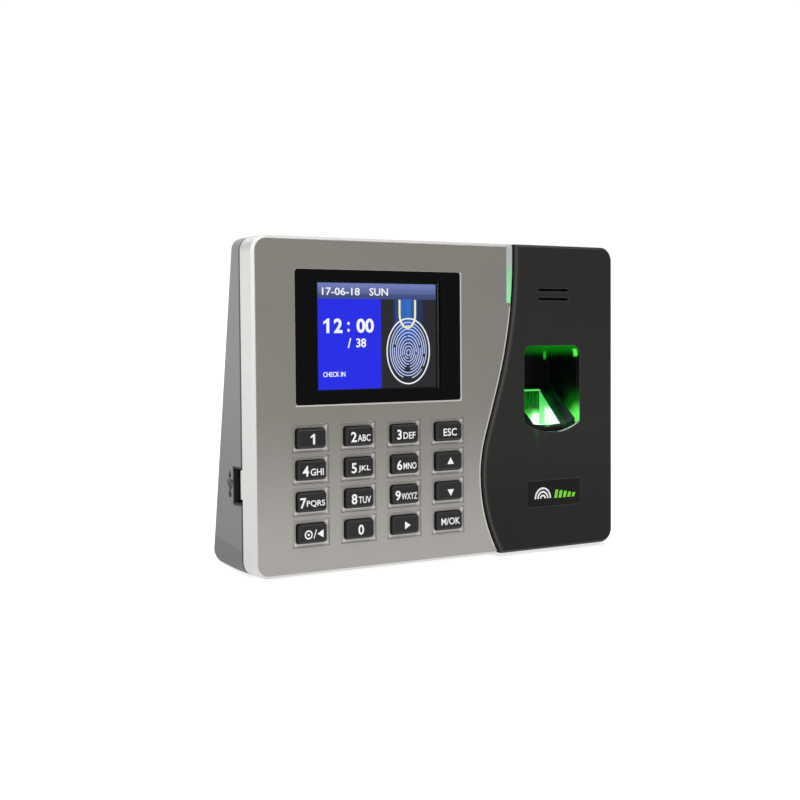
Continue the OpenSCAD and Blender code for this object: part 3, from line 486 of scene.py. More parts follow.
def display():
    """The display's backlit picture: banner, blue clock area and a dark area with soft beams."""
    s = Surface("display", emission_strength=1.12, specular_ior_level=0.2, roughness=0.3)
    dot_pitch, banner_h, clock_w = 0.24, 6.4, 30.1
    across = s.math("SUBTRACT", s.x, SCREEN_X - SCREEN_W / 2)
    down = s.math("SUBTRACT", SCREEN_Y + SCREEN_H / 2, s.y)
    lit = s.times(s.between(across, 0.0, SCREEN_W), s.between(down, 0.0, SCREEN_H))
    columns = s.math("SINE", s.times(s.x, 2 * math.pi / dot_pitch))
    rows = s.math("SINE", s.times(s.y, 2 * math.pi / dot_pitch))
    dots = s.times(columns, rows)
    banner = s.mix(s.span(down, 0.5, 5.6), srgb(112, 126, 186), srgb(66, 78, 128))
    banner = s.mix(s.between(down, 3.4, 4.1, 0.3), banner, srgb(96, 108, 160))
    blue = s.mix(s.times(s.noise(0.08), 0.35), srgb(33, 40, 236), srgb(44, 58, 222))
    beam = s.between(across, 38.0, 49.0, 3.0)
    beam = s.times(beam, s.add(0.45, s.times(s.math("SINE", s.times(across, 1.9)), 0.35)))
    beam = s.times(beam, s.span(down, 40.0, 8.0))
    halo = s.times(s.between(across, 39.5, 46.5, 3.4), s.between(down, 2.0, 22.0, 5.0))
    dark = s.mix(beam, srgb(40, 40, 44), srgb(24, 96, 206))
    dark = s.mix(s.times(halo, 0.55), dark, srgb(60, 128, 224))
    picture = s.mix(s.between(across, clock_w, SCREEN_W + 2), blue, dark)
    picture = s.mix(s.between(down, -1.0, banner_h), picture, banner)
    picture = s.mix(s.times(s.add(dots, 1.0), 0.04), picture, srgb(0, 0, 0))
    s.set(
        base_color=s.mix(lit, srgb(14, 14, 16), srgb(6, 6, 10)),
        emission_color=s.mix(lit, srgb(4, 4, 6), picture),
    )
    return s.bump(dots, 0.001).material


def screen_ink(name, colour, strength=1.15):
    """A lit shape of the picture, with a little unevenness from the pixels."""
    s = Surface(name, emission_strength=strength, roughness=0.5, specular_ior_level=0.1)
    grid = s.noise(3.0, 1.0)
    dim = [c * 0.86 for c in colour[:3]] + [1.0]
    s.set(base_color=s.mix(grid, srgb(4, 4, 4), srgb(9, 9, 9)), emission_color=s.mix(grid, dim, colour))
    return s.bump(grid, 0.001).material


def print_ink(name, colour, rough=0.5):
    """Printed ink: slightly uneven cover and a satin surface."""
    s = Surface(name, specular_ior_level=0.3)
    speck = s.noise(7.0, 3.0)
    patch = s.noise(0.8, 2.0)
    dim = [c * 0.85 for c in colour[:3]] + [1.0]
    s.set(
        base_color=s.mix(s.times(s.add(speck, patch), 0.5), dim, colour),
        roughness=s.add(s.times(speck, 0.12), rough - 0.06),
    )
    return s.bump(speck, 0.004).material


def well_glow(s):
    """Green lamp light on the walls of the finger well: ceiling, right wall, corners and floor."""
    ceiling = s.times(s.span(s.y, WELL_TOP - 5.5, WELL_TOP - 0.6), s.span(s.x, 42.0, 71.0, 0.4, 1.0))
    glow = s.mix(ceiling, srgb(0, 0, 0), srgb(2, 112, 7))
    # Patch low on the right wall
    wall = s.span(s.x, WELL_RIGHT - 1.6, WELL_RIGHT - 0.9)
    lit = s.times(s.span(s.y, 74.0, 56.0), s.span(s.z, -13.0, -0.5))
    side = s.mix(s.span(lit, 0.35, 0.95), srgb(0, 84, 5), srgb(96, 250, 92))
    glow = s.mix(s.times(wall, s.span(lit, 0.0, 0.35)), glow, side)
    # Slanted streak in the front corner, short upright one in the rear corner
    front = s.between(s.add(s.y, s.times(s.x, -0.9)), 20.6, 24.6, 0.7)
    front = s.times(front, s.span(s.x, WELL_RIGHT - 2.6, WELL_RIGHT - 1.4))
    glow = s.mix(s.times(front, s.between(s.z, -3.2, -0.6, 0.7)), glow, srgb(90, 244, 84))
    rear = s.times(s.between(s.y, WELL_TOP - 6.2, WELL_TOP - 2.8, 1.0), s.span(s.z, -18.9, -19.9))
    rear = s.times(rear, s.between(s.x, WELL_RIGHT - 3.6, WELL_RIGHT - 2.2, 0.6))
    glow = s.mix(rear, glow, srgb(36, 172, 42))
    # Dim streaks on the cradle beside the prism
    cradle = s.times(s.span(s.add(s.y, s.z), 60.0, 57.5), s.span(s.z, -18.5, -12.0))
    cradle = s.times(cradle, s.between(s.x, 64.5, 71.0, 0.8))
    streaks = s.span(s.noise(0.9, 2.0, (1.0, 0.04, 0.04)), 0.4, 0.62)
    return s.mix(cradle, glow, s.mix(streaks, srgb(0, 12, 5), srgb(4, 62, 30)))


def well_plastic():
    """Polished black recess, with the green lamp's light painted on its walls as glow."""
    s = Surface("well_plastic", specular_ior_level=0.25, emission_strength=1.0)
    ripple = s.noise(0.25, 3.0)
    fine = s.noise(3.0, 3.0)
    s.set(
        base_color=s.mix(ripple, srgb(3, 4, 3), srgb(8, 9, 8)),
        roughness=s.add(s.times(ripple, 0.12), 0.24),
        emission_color=well_glow(s),
    )
    return s.bump(s.add(ripple, s.times(fine, 0.05)), 0.01, 0.4).material


def prism_glass():
    """Lit prism: clear platen, glowing end faces, streaks on the far face and a bright lamp near the foot."""
    s = Surface("prism_glass", specular_ior_level=0.5, emission_strength=1.0)
    foot_y, foot_z = PLATEN_FOOT
    top_y, top_z = PLATEN_TOP
    past_foot = s.add(s.math("SUBTRACT", s.y, foot_y), s.math("SUBTRACT", s.z, foot_z))
    off_platen = s.math("ABSOLUTE", past_foot)
    platen = s.span(off_platen, 0.2, 0.3, 1.0, 0.0)
    aside = s.math("ABSOLUTE", s.math("SUBTRACT", s.x, WELL_X))
    end = s.span(aside, PLATEN_W / 2 - 0.12, PLATEN_W / 2 - 0.04)
    far = s.span(s.z, top_z + 0.12, top_z + 0.04)
    rise = s.span(s.y, foot_y, top_y)
    streak = s.noise(0.8, 4.0, (1.6, 0.16, 1.0))
    far_green = s.mix(s.span(streak, 0.35, 0.65), srgb(0, 44, 4), srgb(4, 104, 10))
    far_green = s.mix(s.times(s.span(rise, 0.5, 0.15), 0.8), far_green, srgb(30, 214, 40))
    lamp = (WELL_X + 6.6, foot_y + 2.0)
    far_green = s.mix(s.near(*lamp, 3.0, 5.6), far_green, srgb(90, 255, 96))
    far_green = s.mix(s.near(*lamp, 2.4, 3.8), far_green, srgb(255, 255, 255))
    hot = s.times(s.span(s.y, foot_y + 9.0, foot_y + 6.0), s.span(s.z, top_z + 2.6, top_z + 5.0))
    upward = s.span(s.add(rise, s.times(streak, 0.2)), 0.15, 1.0)
    end_green = s.mix(upward, srgb(150, 255, 160), srgb(70, 226, 96))
    end_green = s.mix(hot, end_green, srgb(255, 255, 255))
    sideways = s.span(s.add(aside, s.times(streak, 2.0)), 6.0, 8.0)
    foot_green = s.mix(sideways, srgb(236, 255, 238), srgb(60, 230, 80))
    glow = s.mix(far, foot_green, far_green)
    glow = s.mix(end, glow, end_green)
    line = s.times(platen, s.span(s.y, top_y - 0.9, top_y - 0.7))
    glow = s.mix(platen, glow, s.mix(line, srgb(0, 0, 0), srgb(96, 226, 106)))
    s.set(
        base_color=s.mix(platen, srgb(10, 40, 14), srgb(4, 10, 5)),
        emission_color=glow,
        alpha=s.math("SUBTRACT", 1.0, s.times(platen, s.span(line, 0.0, 1.0, 0.9, 0.0))),
        roughness=s.add(s.times(streak, 0.06), 0.05),
    )
    return s.bump(streak, 0.002, 0.1).material


def led_lamp(name, colour, strength):
    """Glowing lamp body with a cloudy core."""
    s = Surface(name, emission_strength=strength, roughness=0.3)
    cloud = s.noise(1.5, 2.0)
    s.set(
        base_color=s.mix(cloud, colour, srgb(255, 255, 255)),
        emission_color=s.mix(cloud, colour, srgb(225, 255, 228)),
    )
    return s.bump(cloud, 0.01, 0.1).material


def circuit_board(name, base):
    """Solder mask with traces showing faintly through it."""
    s = Surface(name, specular_ior_level=0.5)
    traces = s.span(s.cells(0.35, "DISTANCE_TO_EDGE"), 0.04, 0.08, 1.0, 0.0)
    slow = s.noise(0.2, 2.0)
    light = [min(1.0, c * 1.6 + 0.01) for c in base[:3]] + [1.0]
    s.set(
        base_color=s.mix(s.times(s.add(traces, slow), 0.5), base, light),
        roughness=s.add(s.times(slow, 0.1), 0.3),
    )
    return s.bump(s.add(traces, s.times(slow, 0.3)), 0.02, 0.1).material


def soft_rubber(name, base):
    """Matt rubber, silicone or paper with a fine grain."""
    s = Surface(name, specular_ior_level=0.3, sheen_weight=0.15)
    grain = s.noise(4.0, 5.0)
    slow = s.noise(0.1, 2.0)
    light = [min(1.0, c * 1.3 + 0.01) for c in base[:3]] + [1.0]
    s.set(
        base_color=s.mix(s.times(s.add(grain, slow), 0.5), base, light),
        roughness=s.add(s.times(grain, 0.2), 0.6),
    )
    return s.bump(grain, 0.02, 0.2).material


LOOKS = [
    (silver_paint(), "front_bezel"),
    (face_metal(), "face_plate"),
    (panel_plastic(), "scanner_panel"),
    (lit_pipe(), "light_pipe"),
    (window_lens(), "window_lens"),
    (badge_film(), "badge_inlay"),
    (display(), "lcd_panel"),
    (metal("tinned_steel", srgb(214, 216, 218), 0.3), "lcd_frame"),
    (moulded("backlight_white", srgb(232, 232, 226), 0.4), "lcd_backlight"),
    (soft_rubber("mat_silicone", srgb(196, 196, 190)), "keypad_mat"),
    (circuit_board("board_green", srgb(18, 92, 50)), "keypad_board main_board io_board"),
    (circuit_board("board_blue", srgb(16, 70, 104)), "led_board image_board"),
    (moulded("chip_resin", srgb(30, 30, 31), 0.5), "main_chips"),
    (metal("cell_steel", srgb(206, 207, 208), 0.25, (0.4, 4.0, 1.0)), "coin_cell"),
    (metal("socket_steel", srgb(34, 34, 36), 0.4, (4.0, 0.3, 1.0)), "usb_shell"),
    (moulded("tongue_black", srgb(26, 26, 27), 0.4), "usb_tongue"),
    (led_lamp("status_lamp", srgb(150, 250, 170), 1.5), "status_leds"),
    (well_plastic(), "finger_well"),
    (prism_glass(), "sensor_prism"),
    (moulded("housing_black", srgb(24, 24, 25), 0.45), "sensor_housing sensor_lens"),
    (led_lamp("scan_lamp", srgb(120, 255, 130), 6.0), "sensor_leds"),
    (metal("speaker_steel", srgb(150, 150, 153), 0.4), "speaker"),
    (soft_rubber("cone_paper", srgb(36, 36, 36)), "speaker_cone"),
    (shell_plastic(), "back_shell"),
    (soft_rubber("gasket_rubber", srgb(13, 13, 14)), "seam_gasket"),
    (metal("bracket_zinc", srgb(190, 192, 194), 0.35, (1.2, 1.2, 1.2)), "wall_bracket"),
    (moulded("jack_black", srgb(28, 28, 29), 0.4), "power_jack"),
    (moulded("network_grey", srgb(60, 60, 62), 0.4), "network_socket"),
    (metal("contact_metal", srgb(222, 214, 196), 0.2), "power_pin"),
    (moulded("terminal_green", srgb(34, 128, 72), 0.4), "wire_terminals"),
    (moulded("ribbon_amber", srgb(196, 122, 52), 0.3), "lcd_ribbon sensor_ribbon"),
    (moulded("ribbon_white", srgb(228, 226, 216), 0.4), "keypad_ribbon io_ribbon"),
    (metal("screw_steel", srgb(186, 187, 189), 0.28, (3.0, 3.0, 3.0)),
     "case_screws board_screws keypad_screws sensor_screws lock_screw"),
]
LOOKS.append((key_cap(), " ".join(name for name in frame["nodes"] if name.startswith("key_"))))
for look, names in LOOKS:
    for name in names.split():
        for spot in frame["nodes"][name].material_slots:
            spot.material = look


# ---------------------------------------------------------------- printed and lit shapes


class Drawing:
    """Thin solid shapes drawn on a plane in millimetres, then made into one piece."""

    def __init__(self):
        self.mesh = bmesh.new()

    def prism(self, outline, low, high):
        """Solid with that outline, given counter-clockwise, between two heights."""
        bottom = [self.mesh.verts.new((x, y, low)) for x, y in outline]
        top = [self.mesh.verts.new((x, y, high)) for x, y in outline]
        self.mesh.faces.new(reversed(bottom))
        self.mesh.faces.new(top)
        for i in range(len(outline)):
            j = (i + 1) % len(outline)
            self.mesh.faces.new((bottom[i], bottom[j], top[j], top[i]))

    def bar(self, x0, y0, x1, y1, low, high):
        """Solid rectangle between two corners."""
        self.prism([(x0, y0), (x1, y0), (x1, y1), (x0, y1)], low, high)

    def band(self, line, width, low, high, closed=False):
        """Band of even width along a line of points."""
        count = len(line)
        sides = []
        for i, point in enumerate(line):
            before = line[i - 1] if i or closed else point
            after = line[(i + 1) % count] if i + 1 < count or closed else point
            along = Vector((after[0] - before[0], after[1] - before[1])).normalized()
            side = Vector((-along.y, along.x)) * width / 2
            here = Vector(point)
            sides.append((here + side, here - side))
        rings = [
            [self.mesh.verts.new((p.x, p.y, h)) for p, h in ((l, low), (r, low), (r, high), (l, high))]
            for l, r in sides
        ]
        for i in range(count if closed else count - 1):
            a, b = rings[i], rings[(i + 1) % count]
            for k in range(4):
                m = (k + 1) % 4
                self.mesh.faces.new((a[k], a[m], b[m], b[k]))
        if not closed:
            self.mesh.faces.new(reversed(rings[0]))
            self.mesh.faces.new(rings[-1])

    def words(self, text, x, y, height, low, high, width=None, anchor="CENTER", bold=0.012):
        """Lettering whose capitals have that height, standing on y, fitted to width if one is given."""
        font = bpy.data.curves.new("words", "FONT")
        font.body = text
        font.extrude = (high - low) / 2
        font.offset = bold
        font.resolution_u = 3
        holder = bpy.data.objects.new("words", font)
        bpy.context.scene.collection.objects.link(holder)
        bpy.context.view_layer.update()
        mesh = bpy.data.meshes.new_from_object(holder)
        bpy.data.objects.remove(holder)
        bpy.data.curves.remove(font)
        xs = [v.co.x for v in mesh.vertices]
        ys = [v.co.y for v in mesh.vertices]
        up = height / (max(ys) - min(ys))
        across = width / (max(xs) - min(xs)) if width else up
        span = (max(xs) - min(xs)) * across
        start = {"LEFT": 0.0, "CENTER": span / 2}[anchor]
        for v in mesh.vertices:
            v.co.x = x - start + (v.co.x - min(xs)) * across
            v.co.y = y + (v.co.y - min(ys)) * up
            v.co.z += (low + high) / 2
        self.mesh.from_mesh(mesh)
        bpy.data.meshes.remove(mesh)

    def finish(self, name, material, body=CASE, place=FACE):
        """Makes the shapes one piece, moved to its place, that rides on a body."""
        bmesh.ops.remove_doubles(self.mesh, verts=self.mesh.verts, dist=0.0005)
        bmesh.ops.recalc_face_normals(self.mesh, faces=self.mesh.faces)
        data = bpy.data.meshes.new(name)
        self.mesh.to_mesh(data)
        self.mesh.free()
        data.transform(place)
        data.materials.append(material)
        piece = bpy.data.objects.new(name, data)
        bpy.context.scene.collection.objects.link(piece)
        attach(piece, body)


def ellipse(x, y, a, b, start=0, stop=360, steps=40):
    """Points on an ellipse from one angle to another, in degrees."""
    turns = [math.radians(start + (stop - start) * i / steps) for i in range(steps + 1)]
    return [(x + a * math.cos(t), y + b * math.sin(t)) for t in turns]


# Key legends: a main mark, and small letters beside it
legend_ink = print_ink("legend_ink", srgb(246, 246, 246))
LEGEND_LOW, LEGEND_HIGH = KEY_TOP - 0.02, KEY_TOP + 0.03
LEGEND_SHIFT, LEGEND_FOOT = -1.0, -2.4
DIGIT_H, LETTER_H = 4.2, 2.8
ARROW_Y = -0.3


def key_place(column, row):
    return Matrix.Translation((KEY_X0 + column * KEY_PITCH_X, KEY_Y0 - row * KEY_PITCH_Y, 0))


def flagged_one(d, x, y, height, low, high):
    """The figure 1 with its flag: x is the middle of its stem."""
    stem, flag = 0.11 * height, 0.36 * height
    d.prism([
        (x - stem, y), (x + stem, y), (x + stem, y + height), (x - stem * 0.2, y + height),
        (x - flag, y + 0.77 * height), (x - flag, y + 0.6 * height), (x - stem, y + 0.72 * height),
    ], low, high)


def digit_legend(d, digit, letters, x, left, right):
    """A digit at x, and letters from left to right, all from the key's middle."""
    if digit == "1":
        flagged_one(d, x, LEGEND_FOOT, DIGIT_H, LEGEND_LOW, LEGEND_HIGH)
    else:
        d.words(digit, x + LEGEND_SHIFT, LEGEND_FOOT, DIGIT_H, LEGEND_LOW, LEGEND_HIGH, bold=0.02)
    if letters:
        d.words(
            letters, left + LEGEND_SHIFT, LEGEND_FOOT + 0.2, LETTER_H, LEGEND_LOW, LEGEND_HIGH,
            width=right - left, anchor="LEFT"
        )


def word_legend(d, text, width, height):
    d.words(text, 0.4, -height / 2 - 0.3, height, LEGEND_LOW, LEGEND_HIGH, width=width)


def arrow_legend(d, x, turn, size=1.9):
    """Triangle that points at the angle turn."""
    corners = [math.radians(turn + a) for a in (0, 120, 240)]
    outline = [(x + size * math.cos(c), size * math.sin(c) + ARROW_Y) for c in corners]
    d.prism(outline, LEGEND_LOW, LEGEND_HIGH)


def power_legend(d):
    """Ring with a dot, a slash and an arrow to the left."""
    x, y = -2.1, -0.4
    d.band(ellipse(x, y, 1.55, 1.55, 0, 351), 0.55, LEGEND_LOW, LEGEND_HIGH, closed=True)
    d.prism(ellipse(x, y, 0.5, 0.5, 0, 337.5, 15), LEGEND_LOW, LEGEND_HIGH)
    d.band([(0.3, -2.1), (1.5, 1.5)], 0.4, LEGEND_LOW, LEGEND_HIGH)
    arrow_legend(d, 3.8, 180)


KEYS = {
    "key_1": (0, 0, digit_legend, "1", "", 0.8, 0, 0),
    "key_2": (1, 0, digit_legend, "2", "ABC", -1.9, -0.1, 6.1),
    "key_3": (2, 0, digit_legend, "3", "DEF", -2.1, -0.1, 5.9),
    "key_esc": (3, 0, word_legend, "ESC", 6.9, 3.2),
    "key_4": (0, 1, digit_legend, "4", "GHI", -2.1, 0.1, 6.1),
    "key_5": (1, 1, digit_legend, "5", "JKL", -1.9, 0.1, 5.9),
    "key_6": (2, 1, digit_legend, "6", "MNO", -2.1, -0.2, 6.3),
    "key_up": (3, 1, arrow_legend, 0.5, 90),
    "key_7": (0, 2, digit_legend, "7", "PQRS", -3.4, -1.8, 6.6),
    "key_8": (1, 2, digit_legend, "8", "TUV", -1.9, 0.1, 6.1),
    "key_9": (2, 2, digit_legend, "9", "WXYZ", -3.0, -1.3, 6.6),
    "key_down": (3, 2, arrow_legend, 0.5, 270),
    "key_power": (0, 3, power_legend),
    "key_0": (1, 3, digit_legend, "0", "", 1.2, 0, 0),
    "key_right": (2, 3, arrow_legend, 0.3, 0),
    "key_ok": (3, 3, word_legend, "M/OK", 9.8, 3.0),
}
for name, (column, row, draw, *details) in KEYS.items():
    drawing = Drawing()
    draw(drawing, *details)
    drawing.finish(f"{name}_legend", legend_ink, f"{name}_cap", FACE @ key_place(column, row))

# Display picture: lit shapes just above the panel's glass
SHOW_LOW, SHOW_HIGH = -1.55, -1.47
SCREEN = FACE @ Matrix.Translation((SCREEN_X - SCREEN_W / 2, SCREEN_Y + SCREEN_H / 2, 0))
white_ink = screen_ink("screen_white", srgb(250, 250, 255))

TIME_Y, TIME_H = -20.3, 5.9
BANNER_Y, BANNER_H = -5.0, 3.1
clock = Drawing()
flagged_one(clock, 4.7, TIME_Y, TIME_H, SHOW_LOW, SHOW_HIGH)
clock.words("2", 9.5, TIME_Y, TIME_H, SHOW_LOW, SHOW_HIGH, width=4.0, bold=0.03)
clock.words("00", 22.4, TIME_Y, TIME_H, SHOW_LOW, SHOW_HIGH, width=8.4, bold=0.03)
for dot_y in (TIME_Y + 1.1, TIME_Y + 3.9):
    clock.prism(ellipse(14.4, dot_y, 0.6, 0.6, 0, 337.5, 15), SHOW_LOW, SHOW_HIGH)
clock.words("/", 14.8, TIME_Y - 6.1, 4.0, SHOW_LOW, SHOW_HIGH, bold=0.015)
clock.words("38", 20.4, TIME_Y - 5.9, 3.7, SHOW_LOW, SHOW_HIGH, bold=0.02)
clock.words("CHECK IN", 2.3, -38.0, 2.0, SHOW_LOW, SHOW_HIGH, width=10.4, anchor="LEFT")
clock.words("17-06-18", 2.1, BANNER_Y, BANNER_H, SHOW_LOW, SHOW_HIGH, width=17.8, anchor="LEFT", bold=0.01)
clock.words("SUN", 24.6, BANNER_Y, BANNER_H, SHOW_LOW, SHOW_HIGH, width=9.0, anchor="LEFT", bold=0.01)
clock.finish("screen_clock", white_ink, place=SCREEN)


def finger_print(d, x, y, rings, width):
    """Whorl of nested ridges, open at the foot, with short seeded breaks."""
    dice = random.Random(5)
    for i in range(rings):
        a = 0.9 + i * 1.02
        b = 1.3 + i * 1.3
        start = -84 + dice.uniform(-10, 14)
        stop = 264 + dice.uniform(-14, 10)
        gap = dice.uniform(start + 40, stop - 40)
        rise = y + i * 0.12
        for low, high in ((start, gap - 4), (gap + 4, stop)):
            d.band(ellipse(x, rise, a, b, low, high, 28), width, SHOW_LOW, SHOW_HIGH)


PRINT_X, PRINT_Y = 43.6, -28.6
ridges = Drawing()
finger_print(ridges, PRINT_X, PRINT_Y, 9, 0.42)
ridges.finish("screen_ridges", screen_ink("screen_pale", srgb(196, 210, 255)), place=SCREEN)
outline = Drawing()
oval = ellipse(PRINT_X, PRINT_Y + 0.6, 10.6, 13.6, -90, 261, 78)
outline.band(oval, 0.55, SHOW_LOW, SHOW_HIGH, closed=True)
outline.finish("screen_outline", white_ink, place=SCREEN)
FINGER_X, FINGER_R, FINGER_TOP = 43.2, 3.9, -6.6
fingertip = Drawing()
tip = ellipse(FINGER_X, FINGER_TOP - 6, FINGER_R, 5.6, 180, 360, 24)
sides = [(FINGER_X - FINGER_R, FINGER_TOP)] + tip + [(FINGER_X + FINGER_R, FINGER_TOP)]
fingertip.band(sides, 0.9, SHOW_LOW, SHOW_HIGH)
warm_ink = screen_ink("screen_warm", srgb(255, 240, 170))
fingertip.finish("screen_fingertip", warm_ink, place=SCREEN)

# Painted highlight: a pale metal strip along the face plate's edge at the dividing curve
CURVE_TOP_X, CURVE_TOP_Y, CURVE_LOW_Y = 35.1, 130.1, 34.8
UPPER_R, LOWER_R, FOOT_R = 193, 57, 68
CURVE_ANGLE, FOOT_ANGLE = 17.53, 31.2


def curve_line(off, y_low, y_high):
    """Points down the dividing curve, shifted sideways by off, between two heights on the face."""
    turns = [math.radians(CURVE_ANGLE * i / 24) for i in range(25)]
    upper = [
        (CURVE_TOP_X - UPPER_R + (UPPER_R + off) * math.cos(a), CURVE_TOP_Y - (UPPER_R + off) * math.sin(a))
        for a in turns
    ]
    lean = math.radians(CURVE_ANGLE)
    straight_x = CURVE_TOP_X - UPPER_R * (1 - math.cos(lean))
    straight_drop = CURVE_TOP_Y - UPPER_R * math.sin(lean) - CURVE_LOW_Y - LOWER_R * math.sin(lean)
    low_x = straight_x - math.tan(lean) * straight_drop - LOWER_R * (1 - math.cos(lean))
    lower = [
        (low_x + LOWER_R - (LOWER_R - off) * math.cos(a), CURVE_LOW_Y + (LOWER_R - off) * math.sin(a))
        for a in reversed(turns)
    ]
    foot = [
        (low_x + FOOT_R - (FOOT_R - off) * math.cos(a), CURVE_LOW_Y - (FOOT_R - off) * math.sin(a))
        for a in [math.radians(FOOT_ANGLE * i / 8) for i in range(1, 9)]
    ]
    return [p for p in upper + lower + foot if y_low < p[1] < y_high]


# Painted highlight strip laid along the plate's curved edge
trim = Drawing()
trim.band(curve_line(-0.32, 1.4, PIPE_Y - 0.4), 0.6, -0.04, 0.04)
trim.finish("plate_edge", metal("edge_highlight", srgb(216, 213, 207), 0.34, metallic=0.3))

# Generic badge mark: a small ridge sign and a row of green bars
badge_white = print_ink("badge_white", srgb(236, 238, 236), 0.35)
badge_green = print_ink("badge_green", srgb(120, 216, 40), 0.35)
BADGE = FACE @ Matrix.Translation((BADGE_X, BADGE_Y, PANEL_TOP))
BADGE_LOW, BADGE_HIGH = -0.02, 0.05
sign = Drawing()
for ring in range(3):
    reach = 1.0 + ring * 1.15
    sign.band(ellipse(-6.4, -2.2, reach * 1.3, reach * 1.4, 0, 180, 20), 0.78, BADGE_LOW, BADGE_HIGH)
sign.finish("badge_sign", badge_white, place=BADGE)
bars = Drawing()
for step in range(5):
    left, foot, top = 0.2 + step * 2.5, -2.4, 1.3 - step * 0.45
    slanted = [(left, foot), (left + 1.6, foot), (left + 2.3, top), (left + 0.7, top)]
    bars.prism(slanted, BADGE_LOW, BADGE_HIGH)
bars.finish("badge_bars", badge_green, place=BADGE)

# Plug sign printed on the side of the shell: x runs forward, y up the slope, z out of the side
SIDE = FACE @ Matrix(((0, 0, -1, -SHELL_SIDE), (0, 1, 0, 0), (1, 0, 0, 0), (0, 0, 0, 1)))
PLUG_X, PLUG_Y = -21.8, 32.2
PLUG_LOW, PLUG_HIGH = -0.03, 0.03
LINE_W, BRANCH_OFF = 0.9, 1.7
plug = Drawing()
plug.prism(ellipse(PLUG_X, PLUG_Y, 1.3, 1.3, 0, 337.5, 15), PLUG_LOW, PLUG_HIGH)
plug.band([(PLUG_X, PLUG_Y + 0.4), (PLUG_X, PLUG_Y + 7.8)], LINE_W, PLUG_LOW, PLUG_HIGH)
head = [(PLUG_X - 1.4, PLUG_Y + 7.2), (PLUG_X + 1.4, PLUG_Y + 7.2), (PLUG_X, PLUG_Y + 10)]
plug.prism(head, PLUG_LOW, PLUG_HIGH)
for branch_x, start in ((PLUG_X + BRANCH_OFF, PLUG_Y + 1.8), (PLUG_X - BRANCH_OFF, PLUG_Y + 3)):
    branch = [(PLUG_X, start), (branch_x, start + 1.6), (branch_x, start + 3)]
    plug.band(branch, LINE_W, PLUG_LOW, PLUG_HIGH)
plug.bar(PLUG_X + 0.9, PLUG_Y + 4.6, PLUG_X + 2.5, PLUG_Y + 6.2, PLUG_LOW, PLUG_HIGH)
plug.finish("plug_sign", print_ink("sign_ink", srgb(9, 9, 9)), place=SIDE)


# ---------------------------------------------------------------- floor, light and camera


def soft_box(name, place, target, size, power):
    """Rectangular lamp at a place, turned towards a target."""
    lamp = bpy.data.lights.new(name, "AREA")
    lamp.shape = "RECTANGLE"
    lamp.size, lamp.size_y = size
    lamp.energy = power
    box = bpy.data.objects.new(name, lamp)
    bpy.context.scene.collection.objects.link(box)
    box.visible_camera = False
    turn = (Vector(target) - Vector(place)).to_track_quat("-Z", "Y").to_matrix().to_4x4()
    box.matrix_world = Matrix.Translation(place) @ turn


def glow(name, place, radius, power, colour):
    """Small lamp inside the finger well, at a place in face coordinates."""
    lamp = bpy.data.lights.new(name, "POINT")
    lamp.energy = power
    lamp.color = colour
    lamp.shadow_soft_size = radius * MM
    bulb = bpy.data.objects.new(name, lamp)
    bpy.context.scene.collection.objects.link(bulb)
    bulb.visible_camera = False
    bulb.location = FACE @ Vector(place)


soft_box("key_light", (-1.3, -0.7, 0.75), (0, 0, 0.06), (1.0, 1.0), 6.5)
soft_box("top_light", (0.1, -0.1, 1.7), (0, 0, 0), (1.8, 1.8), 34)
soft_box("front_light", (-0.3, -1.6, 0.5), (0, 0, 0.06), (1.2, 0.7), 2.0)
soft_box("back_light", (0.5, 1.5, 1.0), (0, 0, 0.05), (1.6, 0.9), 9)
glow("well_lamp", (WELL_X + 3, 57.0, -4.0), 1.2, 0.008, (0.10, 1.0, 0.16))

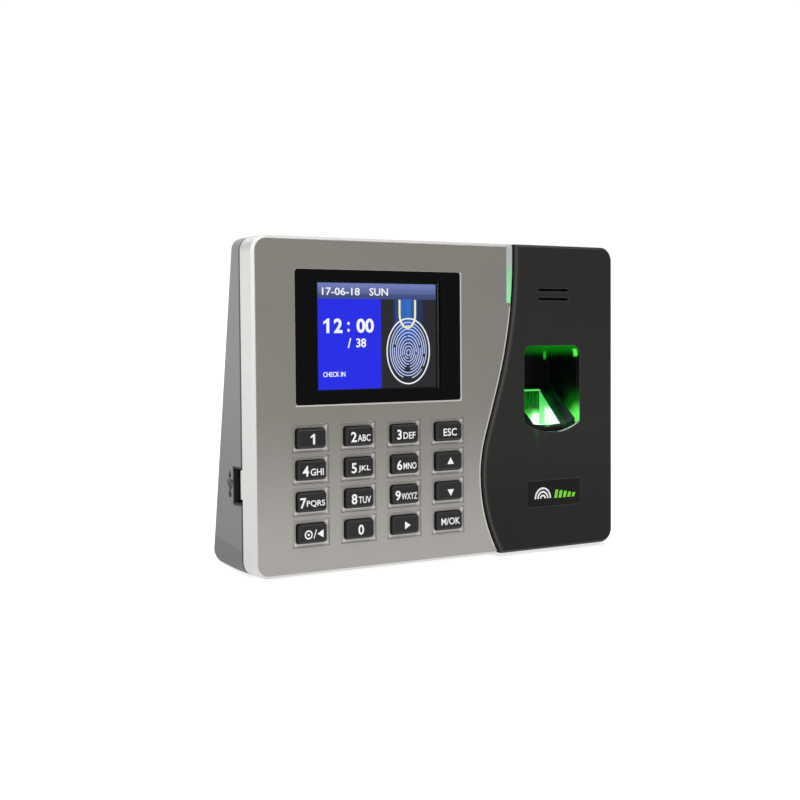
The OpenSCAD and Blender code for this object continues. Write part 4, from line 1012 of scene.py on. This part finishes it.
# The room lights the object softly, and is plain white where the camera sees it
ROOM_LIGHT, ROOM_WHITE = 0.26, 1.05
world = bpy.data.worlds.new("studio")
bpy.context.scene.world = world
world.use_nodes = True
sky = world.node_tree.nodes
white_room = sky.new("ShaderNodeBackground")
for room, strength in ((sky["Background"], ROOM_LIGHT), (white_room, ROOM_WHITE)):
    room.inputs["Color"].default_value = (1, 1, 1, 1)
    room.inputs["Strength"].default_value = strength
path = sky.new("ShaderNodeLightPath")
either = sky.new("ShaderNodeMixShader")
wires = world.node_tree.links
wires.new(path.outputs["Is Camera Ray"], either.inputs[0])
wires.new(sky["Background"].outputs[0], either.inputs[1])
wires.new(white_room.outputs[0], either.inputs[2])
wires.new(either.outputs[0], sky["World Output"].inputs["Surface"])

# The floor's radius in metres, and where it turns white, in millimetres
FLOOR_R = 6.0
FLOOR_LIT_R, FLOOR_WHITE_R = 350, 1500


def pale_floor():
    """Pale matt floor that fades to the room's white."""
    s = Surface("pale_floor", roughness=0.7, specular_ior_level=0.2, emission_strength=1.0)
    mottle = s.noise(0.01, 3.0)
    away = s.math("SQRT", s.add(s.times(s.x, s.x), s.times(s.z, s.z)))
    far = s.span(away, FLOOR_LIT_R, FLOOR_WHITE_R)
    s.set(
        base_color=s.mix(far, s.mix(mottle, srgb(170, 170, 169), srgb(178, 178, 178)), srgb(30, 30, 30)),
        emission_color=s.mix(far, srgb(222, 222, 222), srgb(255, 255, 255)),
    )
    return s.bump(mottle, 0.05).material


disc = bpy.data.meshes.new("floor")
rim = ellipse(0, 0, FLOOR_R, FLOOR_R, 0, 356.25, 95)
disc.from_pydata([(x, y, 0) for x, y in rim], [], [range(len(rim))])
disc.materials.append(pale_floor())
floor = bpy.data.objects.new("floor", disc)
bpy.context.scene.collection.objects.link(floor)

CAMERA_PLACE = Vector((-0.3408, -0.4814, 0.1701))
CAMERA_TURN = [math.radians(a) for a in (79.96, -4.50, -33.01)]
FOCAL_LENGTH = 62.45
lens = bpy.data.cameras.new("camera")
lens.sensor_width = 36
lens.lens = FOCAL_LENGTH
lens.clip_start = 0.01
camera = bpy.data.objects.new("camera", lens)
bpy.context.scene.collection.objects.link(camera)
camera.location = CAMERA_PLACE
camera.rotation_euler = CAMERA_TURN
bpy.context.scene.camera = camera
bpy.context.scene.view_settings.view_transform = "Standard"
